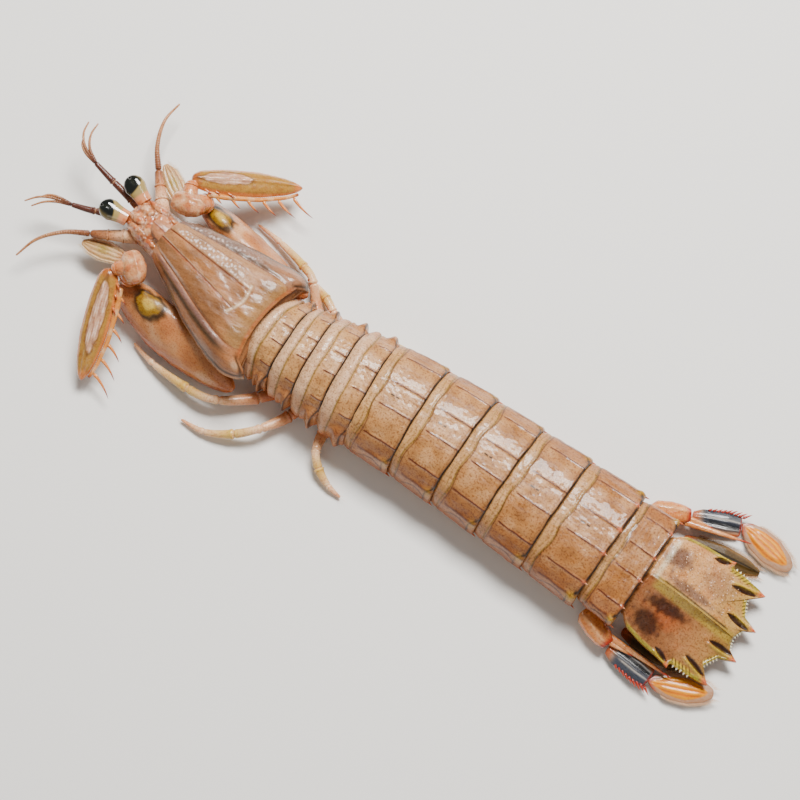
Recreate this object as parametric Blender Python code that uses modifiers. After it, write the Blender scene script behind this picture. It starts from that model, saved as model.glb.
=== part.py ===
# A raw mantis shrimp lying on its belly, head toward -X and tail toward +X.
# The body is laid out straight, by station (mm behind the rostral tip), side (mm, right
# positive) and height (mm above the floor), and is then bent along one centreline.

import math

import bmesh
import bpy
import numpy as np
from mathutils import Matrix, Vector

MM = 0.001
GAP = 0.3                 # clearance between neighbouring pieces
MIDDLE_STATION = 79.0     # station where the centreline crosses the origin
CENTRING = (10.6, -0.9)   # moves the whole animal so that its box is centred on the origin

# The centreline's turn toward the animal's right: station, degrees.
HEADINGS = ((28.0, 11.4), (46.0, -2.9), (68.0, -2.9), (92.0, 2.5))

# Plates of the trunk: number, front station, rear station, half width, crest height.
THORAX = (
    (5, 37.3, 43.0, 10.4, 17.2),
    (6, 43.3, 49.4, 11.2, 17.4),
    (7, 49.7, 56.9, 12.0, 17.6),
    (8, 57.2, 64.9, 12.8, 17.7),
)
ABDOMEN = (
    (1, 65.2, 77.4, 13.7, 17.8),
    (2, 77.7, 89.9, 14.0, 17.8),
    (3, 90.2, 102.2, 14.2, 17.6),
    (4, 102.5, 115.2, 14.5, 17.2),
    (5, 115.5, 129.6, 14.8, 16.4),
    (6, 129.9, 139.3, 13.8, 14.8),
)
EDGE_HEIGHT = 6.2         # height of the plates' side edges
BELLY_HEIGHT = 4.4        # height of the trunk's underside
TAIL_EDGE_HEIGHT = 8.4    # the last somite is shallower, over the uropods
TAIL_BELLY_HEIGHT = 6.1
TAIL_FALL = 1.6           # its crest falls this far toward the telson
CARINAE = (0.22, 0.50, 0.76)   # ridges, as shares of the half width
CARINA_WIDTH = 0.05
CARINA_HEIGHT = 0.45
ARCH_POWER = 2.4
EDGE_SHARE = 0.93         # a last point of the arch before its edge
SIDE_SHARE = 0.9          # beyond this share of the width a plate has its side process
BELLY_SHARES = (-0.88, -0.55, 0.0, 0.55, 0.88)
BELLY_POWER = 4.0
# Along one plate: share of its length, share of its width, share of the ridges' height,
# and how far its side process stands out.
ABDOMEN_PROFILE = ((0.0, 0.95, 0.0, 0.0), (0.1, 0.985, 0.0, 0.2), (0.35, 1.0, 0.3, 0.4),
                   (0.65, 1.01, 1.0, 0.5), (0.93, 1.02, 1.0, 0.7), (1.0, 0.985, 1.0, 0.1))
THORAX_PROFILE = ((0.0, 0.95, 0.0, 0.0), (0.15, 0.98, 0.0, 0.9), (0.35, 1.0, 0.3, 0.7),
                  (0.6, 0.99, 1.0, 1.6), (0.85, 1.0, 1.0, 2.3), (1.0, 0.96, 1.0, 1.0))

# Carapace: station, half width, crest height, edge height.
CARAPACE = ((5.0, 5.6, 16.6, 13.2), (7.0, 6.9, 17.3, 13.0), (14.0, 9.2, 18.5, 12.7),
            (22.0, 12.0, 19.3, 12.4), (30.0, 14.3, 19.7, 12.3), (35.0, 14.9, 19.5, 12.3),
            (37.0, 14.2, 19.0, 12.3))
CARAPACE_UNDERSIDE = 11.7
NECK_STATION = CARAPACE[-1][0]
NECK_HALF_WIDTH = 10.7    # inside it the rear edge is hollow, outside it lobes reach back
REAR_HOLLOW = 1.5
REAR_LOBE = 2.4
LOBE_WIDTH = 4.0
LOBE_TURN = 0.75          # share of a half wave that a lobe's outline takes
LOBE_FROM = 22.0          # the rear edge's shape fades out forward to this station
GROOVES = (0.34, 0.66)    # gastric grooves of the carapace, as shares of the half width
GROOVE_DEPTH = 0.5

# Fleshy head: station, half width, top, bottom.
HEAD = ((-7.0, 3.4, 11.0, 7.6), (-5.5, 4.6, 12.3, 6.4), (-2.0, 5.2, 13.2, 5.4),
        (4.4, 5.2, 13.5, 5.0), (4.6, 5.3, 11.3, 5.0), (16.0, 7.6, 11.3, 4.6),
        (28.0, 8.6, 11.3, 4.5), (35.2, 8.8, 11.0, 4.6))
HEAD_SIDES = 14
HEAD_POWER = 0.75         # below 1 the head's section is squarer than an oval
ROSTRUM = ((0.0, 1.0), (1.0, 1.9), (3.0, 2.4), (4.6, 2.6))   # station, half width
ROSTRUM_HEIGHTS = (13.9, 15.0)
ROSTRUM_SHARES = (1.0, 0.6, 0.0, -0.6, -1.0)
ROSTRUM_CAMBER = 0.5      # its side edges lie this far below its middle

# Telson, right half of its margin from the front corner to the notch: aft of its front, side.
TELSON_FRONT = 140.2
TELSON_MARGIN = ((0.0, 10.6), (2.2, 12.4), (7.0, 13.4), (11.5, 13.8), (14.6, 14.5),
                 (14.8, 13.0), (17.5, 12.9), (20.0, 12.7), (24.2, 12.2), (20.7, 10.4),
                 (21.2, 8.8), (22.0, 7.2), (22.9, 5.6), (26.8, 4.1), (24.3, 2.9),
                 (23.6, 1.6), (23.2, 0.4))
TELSON_ROWS = (0.0, 0.07, 0.16, 0.42, 0.72, 0.93, 1.0)
TELSON_RIDGE_ROW = 2      # the middle ridge ends at this row
TELSON_FRONT_HEIGHT = 11.2
TELSON_REAR_HEIGHT = 5.2
TELSON_DROOP = 1.9        # how far the margin lies below the middle
TELSON_REAR_FLATNESS = 0.55   # share of the droop that is gone at the rear
TELSON_RIDGE = 1.4
TELSON_THICKNESS = 2.0
MERGE = 1e-4              # metres, also the reach of the mirror's seam

SIDES = (("left", -1.0), ("right", 1.0))
# Each side's pose. Eye and wrist: station, side, height, yaw. Hand: the same, then pitch.
# Arm: side, height, tilt of its broad face. Legs: how far each pair reaches out.
# Uropod: station and side of its root, then the splay of its four pieces.
RIG = {
    "left": {
        "eye": (-7.4, -3.5, 11.4, 18.0),
        "wrist": (4.6, -10.9, 13.9, -30.0),
        "hand": (0.6, -14.6, 13.2, -63.0, 20.0),
        "arm": (15.0, 6.6, 36.0),
        "legs": (1.0, 1.0, 0.8),
        "uropod": (132.4, 14.0, 20.0, 3.0, -24.0, -4.0),
    },
    "right": {
        "eye": (-7.4, 2.9, 11.4, -12.0),
        "wrist": (2.6, 8.8, 14.3, 24.0),
        "hand": (-1.4, 13.6, 14.2, 47.0, 19.0),
        "arm": (12.9, 5.9, 60.0),
        "legs": (0.78, 0.45, 0.3),
        "uropod": (132.0, 14.0, 27.0, 24.0, -10.0, 10.0),
    },
}

# Claw: along its own axis, then half depth and half thickness.
MERUS_STATIONS = (1.8, 38.0)
MERUS = ((0.0, 1.6, 1.2), (0.06, 3.4, 2.3), (0.2, 5.0, 3.1), (0.42, 5.9, 3.5),
         (0.66, 5.2, 3.2), (0.86, 3.4, 2.4), (1.0, 1.4, 1.2))
CARPUS_SIZE = (8.2, 6.0, 5.4)
CARPUS_RINGS = 8
PROPODUS = ((0.0, 1.3, 1.0), (0.08, 2.5, 1.5), (0.3, 3.2, 1.8), (0.6, 3.2, 1.7),
            (0.84, 2.2, 1.2), (0.95, 1.2, 0.8), (1.0, 0.3, 0.3))
PROPODUS_LENGTH = 27.0
DACTYL_SPAN = (3.6, 26.0)  # along the hand
DACTYL_WIDTH = 1.6
DACTYL_THICKNESS = 1.3
DACTYL_END = 0.4           # width left at the blade's tip
DACTYL_STEPS = 8           # points along its inner edge
DACTYL_TEETH = 6
TOOTH_START = 0.45         # share of the pitch before each tooth
TOOTH_REACH = (1.2, 4.6)   # first and last tooth beyond the blade
TOOTH_SLANT = 1.1
TOOTH_LEAD = 0.5           # a tooth's tip lies at least this far along from its root
TOOTH_WIDTH = 1.0
TOOTH_HEEL = 0.9           # share of the blade's width left behind a tooth

LIMB_SIDES = 12
LEAF_SIDES = 10

EYE = ((0.0, 1.3, 1.2), (1.6, 1.5, 1.4), (3.0, 2.1, 1.5), (4.0, 2.9, 1.6),
       (5.1, 2.9, 1.5), (6.0, 1.7, 0.9))
EYE_PITCH = -12.0
ANTENNULE_RADII = (1.0, 0.9, 0.8, 0.7, 0.6, 0.45, 0.35)
ANTENNULES = {
    "left": ((-8.3, -2.2, 8.4), (-11.0, -4.6, 8.6), (-15.0, -7.4, 9.0), (-19.0, -9.6, 9.4),
             (-23.0, -11.4, 9.6), (-26.0, -13.6, 9.2), (-28.0, -16.6, 8.6)),
    "right": ((-7.5, 1.0, 8.6), (-12.0, 1.2, 9.4), (-17.0, 1.2, 10.2), (-22.0, 1.4, 10.8),
              (-26.5, 2.4, 11.0), (-29.5, 4.6, 10.8), (-31.0, 7.6, 10.2)),
}
ANTENNA_RADII = (1.4, 1.3, 0.9, 0.6, 0.5, 0.4)
ANTENNAE = ((-4.6, 5.8, 7.6), (-7.6, 8.2, 7.4), (-11.4, 11.2, 7.2), (-16.0, 15.4, 7.6),
            (-19.4, 21.0, 7.2), (-20.6, 27.0, 5.6))
SCALE_LEAF = ((0.0, 0.7, 0.4), (0.2, 2.0, 0.5), (0.5, 2.6, 0.5), (0.8, 2.1, 0.4), (1.0, 0.6, 0.3))
SCALE_LENGTH = 12.0
SCALE_PLACE = (-0.8, 9.2, 5.4, 158.0)

# Walking legs: station, side and height at the hip, knee, ankle and tip.
LEG_ROOT_SIDE = 10.0
UNDER_BODY = 15.0         # nearer the middle than this a leg stays below the belly
LEG_RADII = (1.5, 1.4, 1.0, 1.1, 0.8, 0.4)
LEGS = (
    ((44.8, 9.6, 3.0), (40.5, 14.6, 4.4), (35.6, 19.6, 4.6), (30.0, 21.4, 3.6),
     (21.0, 22.4, 2.0), (13.6, 22.0, 1.0)),
    ((51.5, 9.8, 2.8), (49.0, 14.6, 4.0), (45.4, 19.8, 4.0), (42.0, 23.4, 2.8),
     (37.6, 26.4, 1.5), (33.0, 27.4, 0.9)),
    ((59.0, 10.2, 2.8), (59.0, 14.8, 3.8), (60.0, 19.6, 3.6), (62.4, 23.0, 2.4),
     (66.0, 25.6, 1.4), (70.0, 26.8, 0.9)),
)
# Small jaw legs folded under the head.
MAXILLIPED_RADII = (1.2, 1.2, 1.3, 1.6, 1.0)
MAXILLIPEDS = (
    ((30.0, 4.9, 2.9), (24.0, 6.2, 2.5), (17.0, 6.6, 2.1), (12.0, 5.7, 1.7), (8.6, 5.0, 1.4)),
    ((34.4, 1.8, 2.8), (28.0, 1.9, 2.2), (20.0, 2.0, 1.7), (14.0, 2.0, 1.4), (5.0, 1.9, 1.3)),
)

SWIMMING_PLATES = 5
PLEOPOD_SIDE = 5.9
PLEOPOD_HALF = (4.9, 5.3)   # along the body, across it
PLEOPOD_HEIGHT = 4.0
PLEOPOD_SWEEP = 1.3         # the foot lies this far behind the root
PLEOPOD_FOOT = 0.86         # its foot is this share of its root's size
PLEOPOD_SIDES = 14

PROTOPOD = ((0.0, 1.2, 1.0), (0.15, 2.5, 1.9), (0.5, 2.7, 2.1), (0.8, 2.3, 1.7), (1.0, 1.5, 1.1))
PRONG = ((1.04, 0.7, 0.5), (1.5, 0.6, 0.5), (2.1, 0.45, 0.4), (2.5, 0.1, 0.1))
PRONG_OFFSET = (1.9, 0.1)   # its inner prong starts this far inward and down
PROTOPOD_LENGTH = 9.6
PROTOPOD_HEIGHT = 3.5
ENDOPOD_IN = 5.0          # the inner leaf's root, beside the outer one's
ENDOPOD_BACK = 1.0        # and this far ahead of the stout joint's end
EXOPOD_BASE = ((0.0, 1.5, 0.7), (0.2, 2.5, 0.9), (0.7, 2.9, 0.9), (1.0, 2.3, 0.6))
EXOPOD_BASE_LENGTH = 11.6
BLADE_GAP = 1.2           # room for the outer leaf to bend at its joint
EXOPOD_BLADE = ((0.0, 1.9, 0.4), (0.25, 3.1, 0.45), (0.55, 3.4, 0.45), (0.85, 2.3, 0.35),
                (1.0, 0.9, 0.2))
EXOPOD_BLADE_LENGTH = 13.6
ENDOPOD = ((0.0, 1.0, 0.4), (0.2, 2.2, 0.5), (0.5, 2.7, 0.5), (0.8, 2.1, 0.4), (1.0, 0.7, 0.2))
ENDOPOD_LENGTH = 19.0
EXOPOD_HEIGHT = 1.7
ENDOPOD_HEIGHT = 0.7

SHARP_ANGLE = 50.0        # degrees, edges steeper than this are shaded sharp
LINE_STEP = 0.5
STATIONS = np.arange(-60.0, 220.0, LINE_STEP)
TURNS = np.radians(np.interp(STATIONS, *zip(*HEADINGS)))
LINE_X = np.cumsum(np.cos(TURNS)) * LINE_STEP
LINE_Y = -np.cumsum(np.sin(TURNS)) * LINE_STEP


def turn_at(station):
    return float(np.interp(station, STATIONS, TURNS))


def bend(station, side, height):
    """The place of a point of the straight layout in the bent body, in metres."""
    turn = turn_at(station)
    along = np.interp(station, STATIONS, LINE_X) - np.interp(MIDDLE_STATION, STATIONS, LINE_X)
    across = np.interp(station, STATIONS, LINE_Y) - np.interp(MIDDLE_STATION, STATIONS, LINE_Y)
    x = along + side * math.sin(turn) + CENTRING[0]
    y = across + side * math.cos(turn) + CENTRING[1]
    return Vector((x, y, height)) * MM


def placed(station, side, height, yaw=0.0, pitch=0.0, roll=0.0):
    """A matrix there: its +X points rearward, turned by yaw toward the animal's right."""
    facing = math.radians(yaw) - turn_at(station)
    turned = Matrix.Rotation(facing, 4, "Z") @ Matrix.Rotation(math.radians(pitch), 4, "Y")
    rolled = turned @ Matrix.Rotation(math.radians(roll), 4, "X")
    return Matrix.Translation(bend(station, side, height)) @ rolled


def clear_scene():
    for old in list(bpy.data.objects):
        bpy.data.objects.remove(old)
    for group in list(bpy.data.collections):
        bpy.data.collections.remove(group)
    shrimp = bpy.data.collections.new("mantis_shrimp")
    bpy.context.scene.collection.children.link(shrimp)
    return shrimp


def make_material(name, colour, roughness):
    material = bpy.data.materials.new(name)
    material.use_nodes = True
    shader = material.node_tree.nodes["Principled BSDF"]
    shader.inputs["Base Color"].default_value = (*colour, 1.0)
    shader.inputs["Roughness"].default_value = roughness
    shader.inputs["Metallic"].default_value = 0.0
    material.diffuse_color = (*colour, 1.0)
    return material


def add_mesh(name, bm, material, matrix=None):
    mesh = bpy.data.meshes.new(name)
    bmesh.ops.recalc_face_normals(bm, faces=bm.faces)
    bm.to_mesh(mesh)
    bm.free()
    mesh.shade_smooth()
    mesh.set_sharp_from_angle(angle=math.radians(SHARP_ANGLE))
    mesh.materials.append(material)
    thing = bpy.data.objects.new(name, mesh)
    if matrix is not None:
        thing.matrix_world = matrix
    SHRIMP.objects.link(thing)
    return thing


def ringed(name, rings, material, matrix=None):
    """One closed solid skinned through rings of equally many points, its two ends capped."""
    bm = bmesh.new()
    around = len(rings[0])
    bmesh.ops.create_grid(bm, x_segments=len(rings) - 1, y_segments=around, size=0.5)
    bm.verts.ensure_lookup_table()
    for number, vert in enumerate(bm.verts):
        row, column = divmod(number, len(rings))
        vert.co = rings[column][row % around]
    bmesh.ops.remove_doubles(bm, verts=bm.verts, dist=1e-6)
    bmesh.ops.holes_fill(bm, edges=bm.edges, sides=0)
    return add_mesh(name, bm, material, matrix)


def slab(name, rows, underside, material):
    """A sheet of bent points drawn down to a flat underside."""
    bm = bmesh.new()
    across = len(rows[0])
    bmesh.ops.create_grid(bm, x_segments=across - 1, y_segments=len(rows) - 1, size=0.5)
    bm.verts.ensure_lookup_table()
    for number, vert in enumerate(bm.verts):
        row, column = divmod(number, across)
        vert.co = bend(*rows[row][column])
    drawn = bmesh.ops.extrude_face_region(bm, geom=bm.faces[:], use_keep_orig=True)
    for item in drawn["geom"]:
        if isinstance(item, bmesh.types.BMVert):
            item.co.z = underside * MM
    return add_mesh(name, bm, material)


def oval_rings(profile, length, sides, power=2.0):
    """Rings along +X: each profile row gives a share of the length, half width, half height."""
    rings = []
    for share, half_width, half_height, *offset in profile:
        aside, down = offset or (0.0, 0.0)
        ring = []
        for step in range(sides):
            angle = 2.0 * math.pi * step / sides
            across = math.copysign(abs(math.cos(angle)) ** (2.0 / power), math.cos(angle))
            up = math.copysign(abs(math.sin(angle)) ** (2.0 / power), math.sin(angle))
            place = (share * length, half_width * across + aside, half_height * up - down)
            ring.append(Vector(place) * MM)
        rings.append(ring)
    return rings


def tube(name, points, radii, material, side=1.0):
    """A limb along a few bent points, swelling and thinning from joint to joint."""
    curve = bpy.data.curves.new(name, "CURVE")
    curve.dimensions = "3D"
    curve.bevel_depth = MM
    curve.bevel_resolution = 1
    curve.use_fill_caps = True
    spline = curve.splines.new("POLY")
    spline.points.add(len(points) - 1)
    for target, (station, across, height), radius in zip(spline.points, points, radii):
        target.co = (*bend(station, across * side, height), 1.0)
        target.radius = radius
    curve.materials.append(material)
    thing = bpy.data.objects.new(name, curve)
    SHRIMP.objects.link(thing)
    return thing


def shares_across(ridges, spread):
    """Shares of the half width where a plate's section has a point, right side to left."""
    half = [0.0]
    for ridge in ridges:
        half += [ridge - spread, ridge, ridge + spread]
    half += [EDGE_SHARE, 1.0]
    return [share for share in reversed(half)] + [-share for share in half[1:]]


def arch(half_width, crest, edge, relief):
    """A dorsal arch from the right edge to the left, with ridges or grooves at their shares."""
    points = []
    for share in shares_across(relief["at"], relief["spread"]):
        lift = (1.0 - abs(share) ** ARCH_POWER) ** (1.0 / ARCH_POWER)
        height = edge + (crest - edge) * lift
        if any(abs(abs(share) - ridge) < 1e-6 for ridge in relief["at"]):
            height += relief["height"]
        points.append((half_width * share, height))
    return points


def plate_section(half_width, crest, edge, belly, relief, process):
    """The arch of one plate with its side processes, closed by a flatter belly."""
    section = []
    for side, height in arch(half_width, crest, edge, relief):
        if abs(side) > SIDE_SHARE * half_width:
            side += math.copysign(process, side)
        section.append((side, height))
    for share in BELLY_SHARES:
        drop = (1.0 - abs(share) ** BELLY_POWER) ** (1.0 / BELLY_POWER)
        section.append((half_width * share, edge - (edge - belly) * drop))
    return section


def neck_station(side):
    """The line where the carapace ends: hollow at the neck, with a lobe at each corner."""
    across = abs(side) / NECK_HALF_WIDTH
    if across <= 1.0:
        return NECK_STATION - REAR_HOLLOW * (1.0 - across * across)
    out = min(1.0, (abs(side) - NECK_HALF_WIDTH) / LOBE_WIDTH)
    return NECK_STATION + REAR_LOBE * math.sin(out * math.pi * LOBE_TURN)


def make_trunk(plates, word, profile, material):
    """The plates of one stretch of the trunk, each a little wider at its rear edge."""
    for number, front, rear, half_width, crest in plates:
        tail = number == 6 and word == "abdomen"
        edge = TAIL_EDGE_HEIGHT if tail else EDGE_HEIGHT
        belly = TAIL_BELLY_HEIGHT if tail else BELLY_HEIGHT
        rings = []
        for share, width, ridge, process in profile:
            relief = {"at": CARINAE, "spread": CARINA_WIDTH, "height": CARINA_HEIGHT * ridge}
            fall = TAIL_FALL * share if tail else 0.0
            top = edge + (crest - fall - edge) * width
            section = plate_section(half_width * width, top, edge, belly, relief, process)
            ring = []
            for side, height in section:
                start = front
                if number == 5 and word == "thorax":
                    start = neck_station(min(abs(side), NECK_HALF_WIDTH)) + GAP
                ring.append(bend(start + (rear - start) * share, side, height))
            rings.append(ring)
        ringed(f"{word}_{number}", rings, material)


def make_carapace(material):
    """A domed shield over the head's rear, its back edge hollow between rounded lobes."""
    rows = []
    for row, (station, half_width, crest, edge) in enumerate(CARAPACE):
        relief = {"at": GROOVES, "spread": CARINA_WIDTH, "height": -GROOVE_DEPTH if row > 0 else 0.0}
        blend = max(0.0, (station - LOBE_FROM) / (NECK_STATION - LOBE_FROM))
        places = []
        for side, height in arch(half_width, crest, edge, relief):
            shift = (neck_station(side) - NECK_STATION) * blend
            places.append((station + shift, side, height))
        rows.append(places)
    slab("carapace", rows, CARAPACE_UNDERSIDE, material)


def make_head(flesh, shell):
    """The fleshy front of the body, running back under the carapace, and the rostral plate."""
    rings = []
    for station, half_width, top, bottom in HEAD:
        ring = []
        for step in range(HEAD_SIDES):
            angle = 2.0 * math.pi * step / HEAD_SIDES
            across = math.copysign(abs(math.cos(angle)) ** HEAD_POWER, math.cos(angle))
            up = math.copysign(abs(math.sin(angle)) ** HEAD_POWER, math.sin(angle))
            height = (top + bottom) / 2.0 + up * (top - bottom) / 2.0
            ring.append(bend(station, half_width * across, height))
        rings.append(ring)
    ringed("head", rings, flesh)
    low, high = ROSTRUM_HEIGHTS
    rows = []
    for station, half_width in ROSTRUM:
        rows.append([(station, half_width * share, high - ROSTRUM_CAMBER * share * share)
                     for share in ROSTRUM_SHARES])
    slab("rostral_plate", rows, low, shell)


def make_senses(stalk, feeler, shell):
    """Stalked eyes, antennules, antennae and their oval scales."""
    for word, side in SIDES:
        station, across, height, yaw = RIG[word]["eye"]
        profile = [(reach / EYE[-1][0], wide, deep) for reach, wide, deep in EYE]
        forward = placed(station, across, height, 180.0 + yaw, EYE_PITCH)
        ringed(f"eye_{word}", oval_rings(profile, EYE[-1][0], LIMB_SIDES), stalk, forward)
        tube(f"antennule_{word}", ANTENNULES[word], ANTENNULE_RADII, feeler)
        tube(f"antenna_{word}", ANTENNAE, ANTENNA_RADII, feeler, side)
        station, across, height, yaw = SCALE_PLACE
        outward = placed(station, across * side, height, yaw * side)
        leaf = oval_rings(SCALE_LEAF, SCALE_LENGTH, LEAF_SIDES)
        ringed(f"antennal_scale_{word}", leaf, shell, outward)


def dactyl_outline():
    """A toothed blade following the hand's inner edge, its last tooth the longest."""
    start, end = DACTYL_SPAN
    first, last = TOOTH_REACH
    pitch = (end - start) / DACTYL_TEETH
    blade = [(start, 0.0), (start, DACTYL_WIDTH)]
    for tooth in range(DACTYL_TEETH):
        root = start + pitch * (tooth + TOOTH_START)
        reach = first + (last - first) * tooth / (DACTYL_TEETH - 1)
        blade.append((root, DACTYL_WIDTH))
        blade.append((root + reach * TOOTH_SLANT + TOOTH_LEAD, DACTYL_WIDTH + reach))
        blade.append((root + TOOTH_WIDTH, DACTYL_WIDTH * TOOTH_HEEL))
    blade.append((end, DACTYL_END))
    inner = [(start + (end - start) * step / DACTYL_STEPS, 0.0)
             for step in range(DACTYL_STEPS, 0, -1)]
    return blade + inner


def make_dactyl(word, side, matrix, material):
    """The blade as a flat comb, a small gap away from the hand's edge."""
    curve = bpy.data.curves.new(f"claw_{word}_dactyl", "CURVE")
    curve.dimensions = "2D"
    curve.fill_mode = "BOTH"
    curve.extrude = DACTYL_THICKNESS / 2.0 * MM
    outline = dactyl_outline()
    spline = curve.splines.new("POLY")
    spline.points.add(len(outline) - 1)
    spline.use_cyclic_u = True
    shares, half_widths, _half_heights = zip(*PROPODUS)
    for target, (along, out) in zip(spline.points, outline):
        hand_edge = np.interp(along / PROPODUS_LENGTH, shares, half_widths)
        target.co = (along * MM, (out + hand_edge + GAP) * side * MM, 0.0, 1.0)
    curve.materials.append(material)
    thing = bpy.data.objects.new(f"claw_{word}_dactyl", curve)
    thing.matrix_world = matrix
    SHRIMP.objects.link(thing)


def make_claws(shell, joint, hand):
    """Each raptorial claw: thick arm under the carapace's edge, round wrist, flat hand."""
    for word, side in SIDES:
        front, rear = MERUS_STATIONS
        middle, rise, lean = RIG[word]["arm"]
        tilt = math.radians(lean)
        rings = []
        for share, deep, thick in MERUS:
            ring = []
            for step in range(LIMB_SIDES):
                angle = 2.0 * math.pi * step / LIMB_SIDES
                out = deep * math.cos(angle)
                up = thick * math.sin(angle)
                across = middle + out * math.cos(tilt) + up * math.sin(tilt)
                height = rise - out * math.sin(tilt) + up * math.cos(tilt)
                ring.append(bend(front + (rear - front) * share, across * side, height))
            rings.append(ring)
        ringed(f"claw_{word}_merus", rings, shell)

        station, across, height, yaw = RIG[word]["wrist"]
        bm = bmesh.new()
        bmesh.ops.create_uvsphere(bm, u_segments=LIMB_SIDES, v_segments=CARPUS_RINGS,
                                  radius=0.5 * MM)
        bmesh.ops.scale(bm, verts=bm.verts, vec=CARPUS_SIZE)
        add_mesh(f"claw_{word}_carpus", bm, joint, placed(station, across, height, yaw))

        station, across, height, yaw, pitch = RIG[word]["hand"]
        along = placed(station, across, height, yaw, pitch)
        rings = oval_rings(PROPODUS, PROPODUS_LENGTH, LIMB_SIDES)
        ringed(f"claw_{word}_propodus", rings, hand, along)
        make_dactyl(word, -side, along, joint)


def make_legs(material):
    """Three pairs of walking legs and two pairs of folded jaw legs."""
    for word, side in SIDES:
        for number, (points, reach) in enumerate(zip(LEGS, RIG[word]["legs"]), 1):
            drawn_in = []
            for (station, out, height), radius in zip(points, LEG_RADII):
                across = LEG_ROOT_SIDE + (out - LEG_ROOT_SIDE) * reach
                if across < UNDER_BODY:
                    height = min(height, BELLY_HEIGHT - radius - GAP)
                drawn_in.append((station, across, height))
            tube(f"leg_{word}_{number}", drawn_in, LEG_RADII, material, side)
        for number, points in enumerate(MAXILLIPEDS, 1):
            tube(f"maxilliped_{word}_{number}", points, MAXILLIPED_RADII, material, side)


def make_pleopods(material):
    """Swimming legs folded flat under the abdomen, each foot swept back on the floor."""
    half_along, half_across = PLEOPOD_HALF
    for number, front, rear, _half_width, _crest in ABDOMEN[:SWIMMING_PLATES]:
        for word, side in SIDES:
            bm = bmesh.new()
            bmesh.ops.create_cone(bm, cap_ends=True, segments=PLEOPOD_SIDES,
                                  radius1=PLEOPOD_FOOT, radius2=1.0, depth=1.0)
            for vert in bm.verts:
                rise = vert.co.z + 0.5
                station = (front + rear) / 2.0 + vert.co.x * half_along
                station += PLEOPOD_SWEEP * (0.5 - rise)
                across = PLEOPOD_SIDE * side + vert.co.y * half_across
                vert.co = bend(station, across, rise * PLEOPOD_HEIGHT)
            add_mesh(f"pleopod_{word}_{number}", bm, material)


def telson_height(aft, share):
    """Height of the telson's top: falling to the rear, drooping to the margin, ridged."""
    away = min(1.0, aft / TELSON_MARGIN[-1][0])
    fall = (TELSON_FRONT_HEIGHT - TELSON_REAR_HEIGHT) * away
    droop = TELSON_DROOP * share * share * (1.0 - TELSON_REAR_FLATNESS * away)
    ridge = TELSON_RIDGE * max(0.0, 1.0 - share / TELSON_ROWS[TELSON_RIDGE_ROW])
    return TELSON_FRONT_HEIGHT - fall - droop + ridge * math.sin(math.pi * away)


def make_telson(material):
    """A broad toothed shield: half a sheet from the midline to the margin, mirrored."""
    bm = bmesh.new()
    steps = len(TELSON_MARGIN)
    bmesh.ops.create_grid(bm, x_segments=steps - 1, y_segments=len(TELSON_ROWS) - 1, size=0.5)
    bm.verts.ensure_lookup_table()
    length = TELSON_MARGIN[-1][0]
    for number, vert in enumerate(bm.verts):
        row, column = divmod(number, steps)
        share = TELSON_ROWS[row]
        aft, side = TELSON_MARGIN[column]
        middle = length * column / (steps - 1)
        across = side * share
        along = middle + (aft - middle) * share
        vert.co = (along, across, telson_height(along, share))
    bmesh.ops.remove_doubles(bm, verts=bm.verts, dist=MERGE)
    half = bm.verts[:] + bm.edges[:] + bm.faces[:]
    bmesh.ops.mirror(bm, geom=half, axis="Y", merge_dist=MERGE)
    for vert in bm.verts:
        vert.co = bend(TELSON_FRONT + vert.co.x, vert.co.y, vert.co.z)
    telson = add_mesh("telson", bm, material)
    thicken = telson.modifiers.new("thickness", "SOLIDIFY")
    thicken.thickness = TELSON_THICKNESS * MM
    thicken.offset = -1.0


def make_uropods(joint, shell, blade):
    """Tail fans: a stout joint with a long prong, a two-piece outer leaf and an inner leaf."""
    for word, side in SIDES:
        station, across, *splays = RIG[word]["uropod"]
        root = placed(station, across * side, PROTOPOD_HEIGHT, splays[0] * side)
        slant = math.tan(math.radians(splays[0] - (splays[1] + splays[3]) / 2.0))
        inward, down = PRONG_OFFSET
        prong = tuple((share, wide, deep,
                       -side * (inward + (share - 1.0) * PROTOPOD_LENGTH * slant), down)
                      for share, wide, deep in PRONG)
        rings = oval_rings(PROTOPOD + prong, PROTOPOD_LENGTH, LIMB_SIDES)
        ringed(f"uropod_{word}_protopod", rings, joint, root)

        def hung(along, inset, height, splay):
            """A matrix beyond the stout joint's end, lowered and turned to its own splay."""
            offset = Vector((along, -inset * side, height - PROTOPOD_HEIGHT)) * MM
            turn = math.radians((splay - splays[0]) * side)
            return root @ Matrix.Translation(offset) @ Matrix.Rotation(turn, 4, "Z")

        base = hung(PROTOPOD_LENGTH + GAP, 0.0, EXOPOD_HEIGHT, splays[1])
        rings = oval_rings(EXOPOD_BASE, EXOPOD_BASE_LENGTH, LIMB_SIDES)
        ringed(f"uropod_{word}_exopod_base", rings, shell, base)
        beyond = Matrix.Translation(((EXOPOD_BASE_LENGTH + BLADE_GAP) * MM, 0.0, 0.0))
        bent = Matrix.Rotation(math.radians((splays[2] - splays[1]) * side), 4, "Z")
        rings = oval_rings(EXOPOD_BLADE, EXOPOD_BLADE_LENGTH, LIMB_SIDES)
        ringed(f"uropod_{word}_exopod_blade", rings, blade, base @ beyond @ bent)
        inner = hung(PROTOPOD_LENGTH - ENDOPOD_BACK, ENDOPOD_IN, ENDOPOD_HEIGHT, splays[3])
        rings = oval_rings(ENDOPOD, ENDOPOD_LENGTH, LIMB_SIDES)
        ringed(f"uropod_{word}_endopod", rings, shell, inner)


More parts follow.
